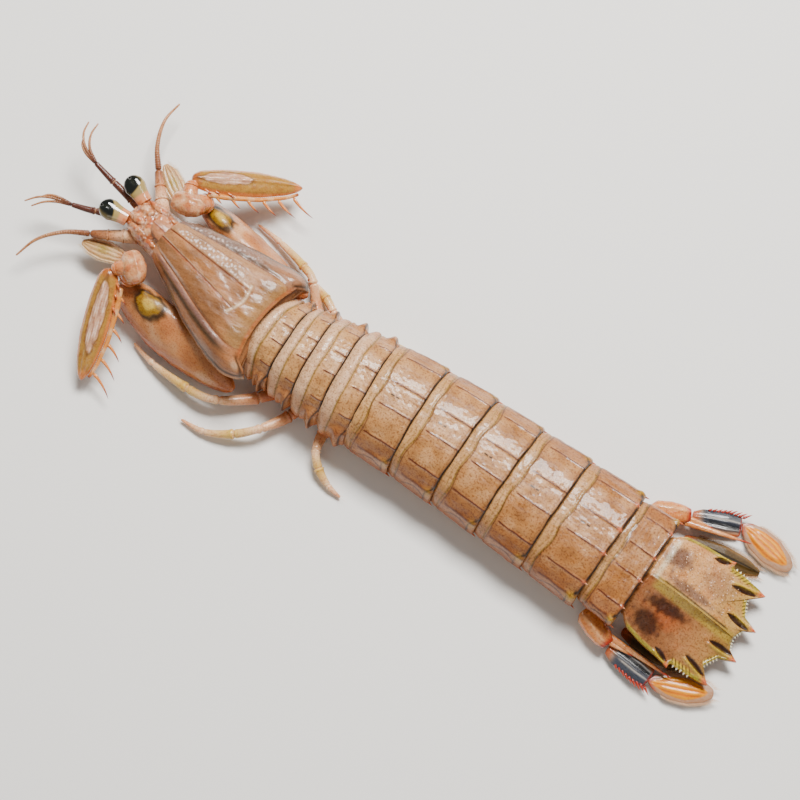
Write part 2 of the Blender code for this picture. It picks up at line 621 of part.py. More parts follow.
SHRIMP = clear_scene()
shell_tan = make_material("shell_tan", (0.57, 0.34, 0.19), 0.35)
carapace_brown = make_material("carapace_brown", (0.40, 0.24, 0.14), 0.30)
flesh_pink = make_material("flesh_pink", (0.62, 0.32, 0.18), 0.40)
claw_peach = make_material("claw_peach", (0.60, 0.30, 0.15), 0.35)
hand_pale = make_material("hand_pale", (0.72, 0.50, 0.36), 0.30)
eye_dark = make_material("eye_dark", (0.06, 0.07, 0.05), 0.15)
feeler_mauve = make_material("feeler_mauve", (0.30, 0.15, 0.12), 0.45)
leg_pink = make_material("leg_pink", (0.66, 0.40, 0.26), 0.40)
telson_brown = make_material("telson_brown", (0.22, 0.09, 0.03), 0.30)
uropod_grey = make_material("uropod_grey", (0.34, 0.30, 0.25), 0.30)
uropod_orange = make_material("uropod_orange", (0.62, 0.28, 0.06), 0.35)

make_trunk(THORAX, "thorax", THORAX_PROFILE, shell_tan)
make_trunk(ABDOMEN, "abdomen", ABDOMEN_PROFILE, shell_tan)
make_carapace(carapace_brown)
make_head(flesh_pink, carapace_brown)
make_senses(eye_dark, feeler_mauve, leg_pink)
make_claws(claw_peach, flesh_pink, hand_pale)
make_legs(leg_pink)
make_pleopods(leg_pink)
make_telson(telson_brown)
make_uropods(flesh_pink, uropod_grey, uropod_orange)
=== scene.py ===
import math

import bmesh
import bpy
import numpy as np
from mathutils import Matrix, Vector


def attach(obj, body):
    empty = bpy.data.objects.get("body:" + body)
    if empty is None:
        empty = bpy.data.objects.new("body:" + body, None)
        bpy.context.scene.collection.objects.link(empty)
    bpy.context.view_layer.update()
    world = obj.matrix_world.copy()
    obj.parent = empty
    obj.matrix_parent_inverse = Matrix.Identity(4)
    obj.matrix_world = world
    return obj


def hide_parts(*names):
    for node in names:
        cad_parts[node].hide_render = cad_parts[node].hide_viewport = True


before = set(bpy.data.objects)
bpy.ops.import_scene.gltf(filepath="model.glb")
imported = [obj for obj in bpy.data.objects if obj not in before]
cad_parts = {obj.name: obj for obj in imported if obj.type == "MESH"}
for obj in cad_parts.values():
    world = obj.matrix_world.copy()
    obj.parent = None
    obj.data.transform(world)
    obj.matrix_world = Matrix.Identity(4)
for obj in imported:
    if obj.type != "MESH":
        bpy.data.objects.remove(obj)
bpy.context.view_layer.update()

# A raw mantis shrimp. Its parts are laid out straight, by station (mm behind the rostral
# tip), side (mm, right positive) and height (mm), and bent along one centreline.
mm = 0.001
mergeGap = 2e-6       # points closer than this, in metres, become one
bodyLine = {
    "headings": ((28.0, 11.4), (46.0, -2.9), (68.0, -2.9), (92.0, 2.5)),    # station, degrees
    "middle": 79.0, "centring": (10.6, -0.9),      # this station lies at this place
    "reach": (-60.0, 220.0), "step": 0.5,
}
lineStations = np.arange(*bodyLine["reach"], bodyLine["step"])
lineTurns = np.radians(np.interp(lineStations, *zip(*bodyLine["headings"])))
lineX = np.cumsum(np.cos(lineTurns)) * bodyLine["step"]
lineY = -np.cumsum(np.sin(lineTurns)) * bodyLine["step"]
lineX -= np.interp(bodyLine["middle"], lineStations, lineX) - bodyLine["centring"][0]
lineY -= np.interp(bodyLine["middle"], lineStations, lineY) - bodyLine["centring"][1]
sides = (("left", -1.0), ("right", 1.0))
toneDepth = 1.5       # the view pales every colour, so all are laid on deeper by this power


def bent(station, side, height):
    turn = np.interp(station, lineStations, lineTurns)
    x = np.interp(station, lineStations, lineX) + side * np.sin(turn)
    y = np.interp(station, lineStations, lineY) + side * np.cos(turn)
    return np.stack(np.broadcast_arrays(x, y, height), -1) * mm


def placed(station, side, height, yaw=0.0, pitch=0.0, roll=0.0):
    # a matrix there, its +X rearward, yaw turning it toward the animal's right
    facing = math.radians(yaw) - float(np.interp(station, lineStations, lineTurns))
    turned = Matrix.Rotation(facing, 4, "Z") @ Matrix.Rotation(math.radians(pitch), 4, "Y")
    rolled = turned @ Matrix.Rotation(math.radians(roll), 4, "X")
    return Matrix.Translation(Vector(bent(station, side, height))) @ rolled


def moved(points, matrix):   # points in mm carried into the body, in metres
    turned = np.array(matrix.to_3x3())
    return (np.asarray(points) * mm) @ turned.T + np.array(matrix.translation)


def srgb(red, green, blue):
    value = np.array((red, green, blue)) / 255.0
    return np.where(value <= 0.04045, value / 12.92, ((value + 0.055) / 1.055) ** 2.4)


def painted(base, *coats):   # a colour, with (colour, amount) coats laid over it in turn
    tint = srgb(*base)
    for colour, amount in coats:
        amount = np.asarray(np.clip(amount, 0.0, 1.0))[..., None]
        tint = tint * (1.0 - amount) + srgb(*colour) * amount
    return tint


def stepUp(value, low, high):   # 0 below low, 1 above high
    share = np.clip((value - low) / (high - low), 0.0, 1.0)
    return share * share * (3.0 - 2.0 * share)


def span(value, low, full, fading, gone):   # 1 from full to fading, 0 below low and above gone
    return stepUp(value, low, full) * (1.0 - stepUp(value, fading, gone))


def streak(distance, width):   # 1 on a line, fading beside it
    return np.exp(-(distance / width) ** 2)


def signedPower(value, power):   # a power that keeps the sign
    return np.sign(value) * np.abs(value) ** power


def ripple(along, across, pitch, seed, up=0.0):   # uneven smooth waves from -1 to 1
    total = 0.0
    for turn in range(5):
        angle = seed * 1.7 + turn * 2.4
        run = along * math.cos(angle) + across * math.sin(angle) + up * math.cos(angle * 1.3)
        wave = 2.0 * math.pi / pitch * (0.7 + 0.23 * turn)
        total = total + np.sin(run * wave + seed * 3.1 + turn * 1.9)
    return total / 3.2


def eased(value, table, column=1, soft=0.03):   # a table's column, with its corners rounded
    places = [row[0] for row in table]
    heights = [row[column] for row in table]
    spread = soft * (places[-1] - places[0])
    return sum(np.interp(value + offset, places, heights)
               for offset in np.linspace(-spread, spread, 5)) / 5.0


def edgeAt(share, profile):   # a limb's half width at one share of its length
    return float(eased(np.array(share), profile))


def addGrid(bm, place, tint):
    # one sheet or closed skin: rows by columns of points, doubles at seams and poles merged
    layer = bm.verts.layers.float_color.get("tint") or bm.verts.layers.float_color.new("tint")
    rows, columns = place.shape[:2]
    made = bmesh.ops.create_grid(bm, x_segments=columns - 1, y_segments=rows - 1, size=0.5)
    deep = np.broadcast_to(np.clip(tint, 0.0, 1.0) ** toneDepth, place.shape)
    for vert, point, colour in zip(made["verts"], place.reshape(-1, 3).tolist(),
                                   deep.reshape(-1, 3).tolist()):
        vert.co = point
        vert[layer] = (*colour, 1.0)
    bmesh.ops.remove_doubles(bm, verts=made["verts"], dist=mergeGap)


def finishPiece(bm, name, finish, nodes=(), sharp=60.0):
    bmesh.ops.recalc_face_normals(bm, faces=bm.faces)
    mesh = bpy.data.meshes.new(name)
    bm.to_mesh(mesh)
    bm.free()
    mesh.shade_smooth()
    mesh.set_sharp_from_angle(angle=math.radians(sharp))
    mesh.materials.append(finishes[finish])
    piece = bpy.data.objects.new(name, mesh)
    bpy.context.scene.collection.objects.link(piece)
    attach(piece, "root")
    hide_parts(*nodes)


def sweepRings(path, wide, deep, around=20, top=(0.0, 0.0, 1.0)):
    # rings square to a path in metres; half width and half depth in mm
    ahead = np.gradient(path, axis=0)
    ahead /= np.linalg.norm(ahead, axis=1, keepdims=True) + 1e-12
    across = np.cross(np.array(top), ahead)
    across /= np.linalg.norm(across, axis=1, keepdims=True) + 1e-12
    upward = np.cross(ahead, across)
    angle = np.linspace(0.0, 2.0 * math.pi, around + 1)
    wide = np.broadcast_to(np.asarray(wide, float), (len(path),))
    deep = np.broadcast_to(np.asarray(deep, float), (len(path),))
    outward = np.cos(angle)[None, :, None] * (wide[:, None] * across)[:, None, :]
    raised = np.sin(angle)[None, :, None] * (deep[:, None] * upward)[:, None, :]
    return path[:, None, :] + (outward + raised) * mm


def smoothPath(points, count):   # a soft curve through the given points
    points = np.array(points, float)
    full = np.vstack([2 * points[0] - points[1], points, 2 * points[-1] - points[-2]])
    place = np.linspace(0.0, len(points) - 1.0001, count)
    index = place.astype(int)
    t = (place - index)[:, None]
    p0, p1, p2, p3 = (full[index + step] for step in range(4))
    return 0.5 * (2 * p1 + (p2 - p0) * t + (2 * p0 - 5 * p1 + 4 * p2 - p3) * t * t
                  + (3 * p1 - p0 - 3 * p2 + p3) * t ** 3)


def capped(share, cap=0.03):   # closes the two ends of a limb roundly
    near = np.minimum(share, 1.0 - share) / cap
    return np.sqrt(np.clip(1.0 - (1.0 - np.minimum(near, 1.0)) ** 2, 0.0, 1.0))


def spine(bm, root, tip, radius, rootColour, tipColour, around=6, sag=0.0, rows=5):
    # a slender spike between two points in metres, bowed upward by sag (mm)
    share = np.linspace(0.0, 1.0, rows)
    root, tip = np.array(root, float), np.array(tip, float)
    path = root + (tip - root) * share[:, None]
    path[:, 2] += sag * mm * 4.0 * share * (1.0 - share)
    thick = radius * (1.0 - share) ** 0.8
    thick[0] = 0.0
    path[0] = path[0] + (root - tip) * 0.02
    rings = sweepRings(path, thick, thick, around)
    addGrid(bm, rings, painted(rootColour, (tipColour, (share ** 1.3)[:, None])))


def limbGrid(profile, length, rows=60, around=36, power=2.0):
    # a limb lying along +X, in mm, from a table of share, half width, half height
    share = 0.5 - 0.5 * np.cos(np.linspace(0.0, math.pi, rows))
    wide = eased(share, profile, 1) * capped(share)
    deep = eased(share, profile, 2) * capped(share)
    angle = np.linspace(0.0, 2.0 * math.pi, around + 1)
    cosine, sine = (signedPower(wave(angle), 2.0 / power) for wave in (np.cos, np.sin))
    place = np.stack(np.broadcast_arrays(
        (share * length)[:, None], wide[:, None] * cosine, deep[:, None] * sine), -1)
    return place, share[:, None] + 0.0 * angle, cosine[None, :] + 0.0 * share[:, None]


def wetMaterial(name, look):
    material = bpy.data.materials.new(name)
    material.use_nodes = True
    nodes, links = material.node_tree.nodes, material.node_tree.links
    shader = nodes["Principled BSDF"]
    tint = nodes.new("ShaderNodeAttribute")
    tint.attribute_name = "tint"
    coords = nodes.new("ShaderNodeTexCoord")
    stretch = nodes.new("ShaderNodeMapping")
    stretch.inputs["Scale"].default_value = look["stretch"]
    links.new(coords.outputs["Object"], stretch.inputs["Vector"])

    def noise(scale, detail, source=coords.outputs["Object"]):
        node = nodes.new("ShaderNodeTexNoise")
        node.inputs["Scale"].default_value = scale
        node.inputs["Detail"].default_value = detail
        node.inputs["Roughness"].default_value = look["noiseRoughness"]
        links.new(source, node.inputs["Vector"])
        return node.outputs["Fac"]

    def spread(source, low, high, bottom, top):
        node = nodes.new("ShaderNodeMapRange")
        for socket, value in zip(node.inputs[1:5], (low, high, bottom, top)):
            socket.default_value = value
        links.new(source, node.inputs["Value"])
        return node.outputs["Result"]

    def multiplied(colour, other, factor):
        node = nodes.new("ShaderNodeMix")
        node.data_type = "RGBA"
        node.blend_type = "MULTIPLY"
        links.new(factor, node.inputs["Factor"])
        links.new(colour, node.inputs["A"])
        node.inputs["B"].default_value = (*other, 1.0)
        return node.outputs["Result"]

    def bumped(height, strength, depth):
        node = nodes.new("ShaderNodeBump")
        node.inputs["Strength"].default_value = strength
        node.inputs["Distance"].default_value = depth
        links.new(height, node.inputs["Height"])
        return node

    cloud = spread(noise(look["cloudScale"], 2.0), 0.35, 0.7, 0.0, look["cloudStrength"])
    specks = spread(noise(look["speckScale"], 2.0), 0.50, 0.64, 0.0, look["speckStrength"])
    colour = multiplied(tint.outputs["Color"], look["cloudColour"], cloud)
    links.new(multiplied(colour, look["speckColour"], specks), shader.inputs["Base Color"])
    gloss = noise(look["glossScale"], 3.0, stretch.outputs["Vector"])
    links.new(spread(gloss, 0.35, 0.65, *look["roughness"]), shader.inputs["Roughness"])
    crinkle = bumped(noise(look["crinkleScale"], 4.0, stretch.outputs["Vector"]),
                     look["crinkle"], look["crinkleDepth"])
    grain = bumped(noise(look["grainScale"], 2.0), look["grain"], look["grainDepth"])
    links.new(crinkle.outputs["Normal"], grain.inputs["Normal"])
    links.new(grain.outputs["Normal"], shader.inputs["Normal"])
    for socket, value in (("Subsurface Weight", "flesh"), ("Subsurface Radius", "fleshSpread"),
                          ("Subsurface Scale", "fleshDepth"), ("Specular IOR Level", "shine"),
                          ("Coat Weight", "wet"), ("Coat Roughness", "wetRoughness")):
        shader.inputs[socket].default_value = look[value]
    return material


shellLook = {
    "stretch": (0.3, 1.0, 1.0), "speckScale": 2300.0, "speckStrength": 0.75,
    "speckColour": (0.42, 0.29, 0.19), "cloudScale": 260.0, "cloudStrength": 0.5,
    "cloudColour": (0.76, 0.68, 0.52), "glossScale": 420.0, "roughness": (0.26, 0.56),
    "crinkle": 0.6, "crinkleScale": 430.0, "crinkleDepth": 0.0005, "grain": 0.45,
    "grainScale": 5200.0, "grainDepth": 0.0001, "noiseRoughness": 0.6, "shine": 0.3,
    "flesh": 0.1, "fleshSpread": (1.0, 0.45, 0.25), "fleshDepth": 0.0018,
    "wet": 0.28, "wetRoughness": 0.07,
}
# each finish: its material's name and what differs from the plates' shell
finishLooks = {
    "shell": ("wetShell", {}),
    "carapace": ("glassyShield", {
        "speckStrength": 0.5, "speckColour": (0.55, 0.45, 0.36), "roughness": (0.18, 0.50),
        "crinkle": 0.7, "crinkleScale": 380.0, "stretch": (0.35, 1.0, 1.0), "wet": 0.3}),
    "flesh": ("wetFlesh", {
        "stretch": (1.0, 1.0, 1.0), "speckScale": 1700.0, "speckStrength": 0.6,
        "speckColour": (0.62, 0.32, 0.18), "crinkle": 0.5, "crinkleScale": 620.0,
        "roughness": (0.10, 0.32), "flesh": 0.25, "wet": 0.8}),
    "arm": ("armShell", {
        "speckScale": 2700.0, "speckStrength": 0.7, "speckColour": (0.62, 0.36, 0.22),
        "crinkle": 0.3, "roughness": (0.22, 0.42), "flesh": 0.2}),
    "hand": ("handShell", {
        "speckScale": 2200.0, "speckStrength": 0.5, "speckColour": (0.70, 0.46, 0.28),
        "crinkle": 0.45, "crinkleScale": 520.0, "roughness": (0.10, 0.30), "flesh": 0.2,
        "wet": 0.8}),
    "leg": ("legShell", {
        "speckScale": 2200.0, "speckStrength": 0.6, "speckColour": (0.66, 0.38, 0.24),
        "crinkle": 0.45, "crinkleScale": 800.0, "roughness": (0.18, 0.4), "flesh": 0.25}),
    "telson": ("tailShield", {
        "stretch": (1.0, 1.0, 1.0), "speckStrength": 0.7, "crinkle": 0.35,
        "crinkleScale": 520.0, "roughness": (0.16, 0.40)}),
    "eye": ("corneaDark", {
        "speckStrength": 0.0, "cloudStrength": 0.0, "crinkle": 0.0, "grain": 0.12,
        "grainScale": 7000.0, "roughness": (0.08, 0.14), "flesh": 0.0, "wet": 1.0}),
    "feeler": ("feelerSkin", {
        "speckScale": 2500.0, "crinkle": 0.3, "crinkleScale": 1500.0, "roughness": (0.2, 0.4)}),
    "fan_grey": ("fanGrey", {
        "speckScale": 2400.0, "speckStrength": 0.5, "speckColour": (0.5, 0.45, 0.42),
        "crinkle": 0.5, "crinkleScale": 700.0, "roughness": (0.18, 0.42), "wet": 0.5}),
    "fan_leaf": ("fanLeaf", {
        "speckScale": 2400.0, "speckStrength": 0.5, "speckColour": (0.5, 0.42, 0.36),
        "crinkle": 0.5, "crinkleScale": 700.0, "roughness": (0.4, 0.6), "shine": 0.15, "wet": 0.05}),
    "fan_orange": ("fanOrange", {
        "speckScale": 2400.0, "speckStrength": 0.45, "speckColour": (0.8, 0.5, 0.25),
        "crinkle": 0.35, "crinkleScale": 800.0, "roughness": (0.2, 0.44), "flesh": 0.08,
        "wet": 0.3}),
}
finishes = {finish: wetMaterial(name, {**shellLook, **changes})
            for finish, (name, changes) in finishLooks.items()}
print("finishes made")

trunk = {
    # number, front, rear, half width, crest
    "thorax": ((5, 37.3, 43.0, 10.4, 17.2), (6, 43.3, 49.4, 11.2, 17.4),
               (7, 49.7, 56.9, 12.0, 17.6), (8, 57.2, 64.9, 12.8, 17.7)),
    "abdomen": ((1, 65.2, 77.4, 13.7, 17.8), (2, 77.7, 89.9, 14.0, 17.8),
                (3, 90.2, 102.2, 14.2, 17.6), (4, 102.5, 115.2, 14.5, 17.2),
                (5, 115.5, 129.6, 14.8, 16.4), (6, 129.9, 139.3, 13.8, 14.8)),
    "body": (6.2, 4.4, 0.0), "tail": (8.4, 6.1, 1.6),   # edge, belly, the crest's fall
    "power": 2.4, "keels": (0.215, 0.72, 0.93), "keelHeight": 0.18, "keelWidth": 0.018,
    "keelLine": 0.17, "spinyFrom": 5,      # abdominal plates from this one on have knobs and spines
    "cornerSpot": (0.42, 0.92),            # share of the height and of the length
    "ticks": ((0.43, 0.05), (0.53, 0.035)),            # share of the length, half length
    "darkening": (43.0, 96.0),             # from this rear station on, over this length
    "rows": 64, "columns": 230, "bellyColumns": 44,
    "frontLip": ((-1.5, 1.6), (-1.3, 0.9), (-0.7, 0.5), (-0.3, 0.3)),
    "rearLip": ((0.12, 0.22), (0.1, 0.5), (-0.5, 0.8)),
    "tan": (210, 172, 126), "golden": (188, 142, 92), "paleAndHighlight": (232, 200, 166),
    "shade": (178, 116, 66), "brown": (142, 98, 58), "olive": (150, 128, 50),
    "fine": (96, 58, 24), "edgeDark": (48, 25, 12), "keelRed": (104, 34, 16),
    "keelPaleAndHighlight": (244, 206, 182), "orange": (196, 122, 68), "spot": (214, 182, 60),
    "tick": (40, 24, 20), "tipPink": (228, 148, 112),
    "under": (216, 176, 140), "underPale": (238, 208, 176), "underRib": (190, 130, 92),
}
# for each kind of plate: profile rows of share of length, share of width, keels' share of
# their height and side process in mm; then its front band and the colours of its edges
plateLooks = {
    "abdomen": {
        "profile": ((0.0, 0.975, 0.0, 0.0), (0.08, 0.99, 0.0, 0.15), (0.35, 1.0, 0.3, 0.3),
                    (0.65, 1.005, 1.0, 0.4), (0.93, 1.01, 1.0, 0.55), (1.0, 1.0, 1.0, 0.3)),
        "band": 0.185, "bandWave": 0.035, "bandCurve": 0.04, "lineDepth": 0.16, "bandDepth": 0.1,
        "bandSwell": 0.03, "bandColour": (224, 190, 146), "bandAmount": 0.5, "keelStart": 0.25,
        "keelStrength": (1.0, 0.9, 0.6), "pleura": (182, 126, 80), "seed": 0,
    },
    "thorax": {
        "profile": ((0.0, 0.965, 0.0, 0.0), (0.15, 0.985, 0.0, 0.9), (0.35, 1.0, 0.3, 0.7),
                    (0.6, 0.99, 1.0, 1.6), (0.85, 1.0, 1.0, 2.3), (1.0, 0.98, 1.0, 1.0)),
        "band": 0.38, "bandWave": 0.03, "bandCurve": 0.0, "lineDepth": 0.22, "bandDepth": 0.16,
        "bandSwell": 0.42, "bandColour": (232, 202, 174), "bandAmount": 0.8, "keelStart": 0.55,
        "keelStrength": (1.0, 0.85, 0.3), "pleura": (212, 156, 114), "seed": 3,
    },
}
neck = {"station": 37.0, "halfWidth": 10.7, "hollow": 1.5, "lobe": 2.4, "gap": 0.3}


def neckStation(side):
    across = np.abs(side) / neck["halfWidth"]
    hollow = -neck["hollow"] * (1.0 - across * across)
    reach = np.clip((np.abs(side) - neck["halfWidth"]) / 4.0, 0.0, 1.0)
    lobe = neck["lobe"] * np.sin(reach * math.pi * 0.75)
    return neck["station"] + np.where(across <= 1.0, hollow, lobe)


def archShares(columns, dense, rise=11.4, half=14.0):
    # shares of the half width and of the rise over an arch, closer together at dense places
    index = np.arange(4001)
    angle = np.linspace(0.0, math.pi, len(index))
    share = signedPower(np.cos(angle), 2.0 / trunk["power"])
    lift = signedPower(np.sin(angle), 2.0 / trunk["power"])
    middle = (share[1:] + share[:-1]) / 2.0
    weight = 1.0 + sum(1.6 * streak(np.abs(middle) - place, 0.03) for place in dense)
    run = np.hypot(np.diff(share) * half, np.diff(lift) * rise) * weight
    run = np.concatenate([[0.0], np.cumsum(run)])
    picked = np.interp(np.linspace(0.0, run[-1], columns), run, index)
    return np.interp(picked, index, share), np.interp(picked, index, lift)


def closedRows(count, frontLip, rearLip):
    # columns: share of the length, mm further along, mm inward, for each row between the poles
    main = np.unique(np.concatenate([np.linspace(0.0, 1.0, count), np.linspace(0.93, 1.0, 10)]))
    rows = [(0.0, *step) for step in frontLip] + [(share, 0.0, 0.0) for share in main]
    rows = np.array(rows + [(1.0, *step) for step in rearLip])
    return (column[:, None] for column in rows.T)


def closedSection(half, edge, top, arch, under, underHeight):
    # each row's closed outline, the share of the half width at each point, and 1 on top
    share, lift = arch
    height = edge + (top - edge) * lift
    side = np.hstack([half * share, half * under, half * share[:1]])
    height = np.hstack([height, underHeight, height[:, :1]])
    across = np.concatenate([share, under, share[:1]]) + 0.0 * side
    onTop = np.concatenate([np.ones(len(share)), np.zeros(len(under)), [1.0]]) + 0.0 * side
    return side, height, across, onTop


def sectionNormals(side, height):   # outward in each row's own plane
    runSide, runHeight = np.gradient(side, axis=1), np.gradient(height, axis=1)
    runSide[:, 0] = runSide[:, -1] = runSide[:, 1]
    runHeight[:, 0] = runHeight[:, -1] = runHeight[:, 1]
    size = np.hypot(runSide, runHeight) + 1e-9
    return runHeight / size, -runSide / size


def withPoles(place, tint):   # both ends of a closed skin drawn to a point
    tint = np.broadcast_to(tint, place.shape)
    first = np.broadcast_to(place[:1, :-1].mean(1, keepdims=True), place[:1].shape)
    last = np.broadcast_to(place[-1:, :-1].mean(1, keepdims=True), place[-1:].shape)
    return np.vstack([first, place, last]), np.vstack([tint[:1], tint, tint[-1:]])


def makePlate(word, number, front, rear, halfWidth, crest):
    thorax, abdomen = word == "thorax", word == "abdomen"
    last = abdomen and number == 6
    spiny = abdomen and number >= trunk["spinyFrom"]
    look = plateLooks[word]
    edge, belly, fall = trunk["tail"] if last else trunk["body"]
    length = rear - front
    along, shift, inset = closedRows(trunk["rows"], trunk["frontLip"], trunk["rearLip"])
    width, ridge, process = (eased(along, look["profile"], column) for column in (1, 2, 3))
    under = np.linspace(-1.0, 1.0, trunk["bellyColumns"] + 2)[1:-1]
    drop = (1.0 - np.abs(under) ** 4.0) ** 0.25
    drop = drop - 0.18 * np.sin(along * math.pi) ** 2 * streak(np.abs(under) - 0.42, 0.16)
    top = edge + (crest - fall * along - edge) * width
    arch = archShares(trunk["columns"], (0.0,) + trunk["keels"])
    side, height, across, onTop = closedSection(halfWidth * width, edge, top, arch, under,
                                                edge - (edge - belly) * drop)
    outSide, outHeight = sectionNormals(side, height)
    size = np.abs(across)
    rise = (height - edge) / (top - edge)     # 0 at the side edge, 1 at the crest
    if thorax:   # bilobed side processes, spiky on the first plate
        process = process * (0.75 + 0.25 * np.cos(along * (26.0 if number == 5 else 15.0) + number))
    side = side + np.sign(across) * process * stepUp(size, 0.86, 0.985)

    run = along * length
    wave = ripple(side, side * 0.3, 11.0, number + look["seed"])
    bandLine = look["band"] + look["bandWave"] * wave - look["bandCurve"] * across * across
    behind = (along - bandLine) * length      # mm behind the front band's line
    inBand = 1.0 - stepUp(behind, -0.2, 0.1)
    keels = sum(streak(size - place, trunk["keelWidth"]) for place in trunk["keels"])
    relief = (trunk["keelHeight"] * ridge * keels * stepUp(along, look["band"], look["band"] + 0.3)
              - look["lineDepth"] * streak(behind, 0.26) - look["bandDepth"] * inBand
              + look["bandSwell"] * np.sin(np.clip(along / look["band"], 0.0, 1.0) * math.pi)
              + 0.16 * streak(along - 0.97, 0.035)
              + 0.06 * ripple(run, side, 4.3, number + 1) + 0.03 * ripple(run, side, 1.7, number + 5))
    relief = relief * onTop - inset
    start = front
    if thorax and number == 5:
        start = neckStation(np.minimum(np.abs(side), neck["halfWidth"])) + neck["gap"]
    station = start + (rear - start) * along + shift + 0.14 * wave * stepUp(along, 0.9, 1.0)
    spotRise, spotAlong = trunk["cornerSpot"]
    knob = 0.35 * spiny * streak(rise - spotRise, 0.1) * streak(along - spotAlong, 0.06) * onTop
    place = bent(station, side + outSide * (relief + knob), height + outHeight * (relief + knob))

    darkFrom, darkOver = trunk["darkening"]
    aft = min(1.0, max(0.0, (rear - darkFrom) / darkOver))
    patch = ripple(run, side, 7.0, number + 9)
    left = stepUp(-across, 0.1, 0.7)
    # painted highlight: a paler band along the crest, just right of the middle
    crestLit = stepUp(0.38 - np.abs(across - 0.05), 0.0, 0.2) * (1.0 - inBand)
    rule, keelHighlight = 0.0, 0.0
    for keel, strength in zip(trunk["keels"], look["keelStrength"]):
        wander = 0.05 * np.sin(run * 1.3 + keel * 9.0) / halfWidth
        drawn = strength * stepUp(along, look["keelStart"], look["keelStart"] + 0.04)
        rule = rule + streak(size - keel - wander, trunk["keelLine"] / halfWidth) * drawn
        # painted highlight: a pale streak just outside each keel line
        keelHighlight = keelHighlight + streak(size - keel - 0.024, 0.2 / halfWidth) * drawn
    rimLine = 0.992 - 0.13 * stepUp(size, 0.86, 0.96)
    rim = streak((along - rimLine) * length, 0.22) + stepUp(along, 0.998, 1.0) * (size < 0.9)
    rim = rim * (0.85 + 0.25 * ripple(side, 0.0, 4.0, number + 2))
    fineLine = behind - 0.42 - 0.3 * ripple(side, 0.0, 15.0, number)   # crosses the band's line
    foreLine = behind + 1.0 + 0.25 * ripple(side, 0.0, 9.0, number + 6)    # lies within the band
    ticks = sum(stepUp(half - np.abs(along - middle), 0.0, 0.01) for middle, half in trunk["ticks"])
    # a dark arc over each hind corner, its height a share of the plate's
    arc = 0.14 + 0.22 * np.sin(np.clip((along - 0.3) / 0.62, 0.0, 1.0) * math.pi) ** 0.8
    arcOn = span(along, 0.3, 0.38, 0.88, 0.93)
    strong = 1.0 if spiny else 0.55
    corner = streak(rise - spotRise, 0.12) * streak(along - spotAlong, 0.09) * strong
    notch = streak(rise - 0.56, 0.05) * streak(along - 0.965, 0.035) * strong
    points = sum(streak(size - keel, 0.5 / halfWidth) for keel in trunk["keels"][:2])
    points = points * stepUp(along, 0.9, 0.97) * spiny
    shell = painted(
        trunk["tan"], (trunk["golden"], aft + 0.0 * across),
        (trunk["paleAndHighlight"], 0.30 * stepUp(patch, 0.0, 0.8)), (trunk["brown"], 0.25 * stepUp(-patch, 0.1, 0.9)),
        # painted highlight on the crest; the paler random patches above are the shell's own tone
        (trunk["paleAndHighlight"], 0.35 * crestLit * (1.0 - 0.5 * aft)),
        (trunk["shade"], 0.5 * stepUp(size, 0.6, 0.97) * (0.6 + 0.4 * left)),
        (look["bandColour"], look["bandAmount"] * inBand),
        (trunk["shade"], 0.35 * inBand * stepUp(size, 0.72, 0.96)),
        (trunk["olive"], 0.8 * streak(behind, 0.19) + 0.45 * abdomen * streak(foreLine, 0.13)),
        (trunk["fine"], 0.75 * abdomen * streak(fineLine, 0.13)),
        (trunk["keelPaleAndHighlight"], 0.25 * keelHighlight), (trunk["keelRed"], 0.95 * rule),
        (trunk["tick"], 0.95 * (abdomen and not last) * streak(side, 0.17) * ticks),
        (trunk["brown"], 0.35 * streak((along - 0.95) * length, 0.3) * (size < 0.9)),
        # the low sides: the pleura's own orange-brown, laid deeper as painted shade
        (look["pleura"], 0.8 * (1.0 - stepUp(rise, 0.06, 0.34))),
        (trunk["fine"], 0.75 * abdomen * streak(rise - arc, 0.025) * arcOn),
        (trunk["orange"], 0.7 * streak(rise, 0.05)),
        (trunk["edgeDark"], 0.9 * rim), (trunk["spot"], 0.9 * abdomen * corner),
        (trunk["edgeDark"], 0.9 * abdomen * notch), (trunk["tipPink"], 0.8 * points))
    paler = stepUp(ripple(run, side, 5.0, number), 0.0, 1.0)
    under = painted(trunk["under"], (trunk["underPale"], 0.5 * paler),
                    (trunk["underRib"], 0.6 * streak(size - 0.42, 0.1)))
    tint = shell * onTop[..., None] + under * (1.0 - onTop)[..., None]

    bm = bmesh.new()
    addGrid(bm, *withPoles(place, tint))
    for mark in (-1.0, 1.0):
        if abdomen:     # the plate's hind corner is a small hook
            out = (halfWidth + 0.35) * mark
            root = bent(rear - 1.4, out - 0.3 * mark, edge + 0.5)
            tip = bent(rear + 1.1, out + 0.25 * mark, edge + 0.1)
            spine(bm, root, tip, 0.5, look["pleura"], trunk["tipPink"], around=8, rows=7)
        for keel in trunk["keels"][:2] if spiny else ():    # short spines behind the keels
            arched = (1.0 - keel ** trunk["power"]) ** (1.0 / trunk["power"])
            tall = edge + (crest - fall - edge) * arched
            out = halfWidth * keel * mark
            spine(bm, bent(rear - 0.9, out, tall + 0.1), bent(rear + 0.8, out, tall - 0.15), 0.36,
                  trunk["tipPink"], trunk["keelPaleAndHighlight"], around=8, rows=6)
    finishPiece(bm, f"plate_{word}_{number}", "shell", (f"{word}_{number}",))


for word in ("thorax", "abdomen"):
    for values in trunk[word]:
        makePlate(word, *values)
print("trunk plates made")

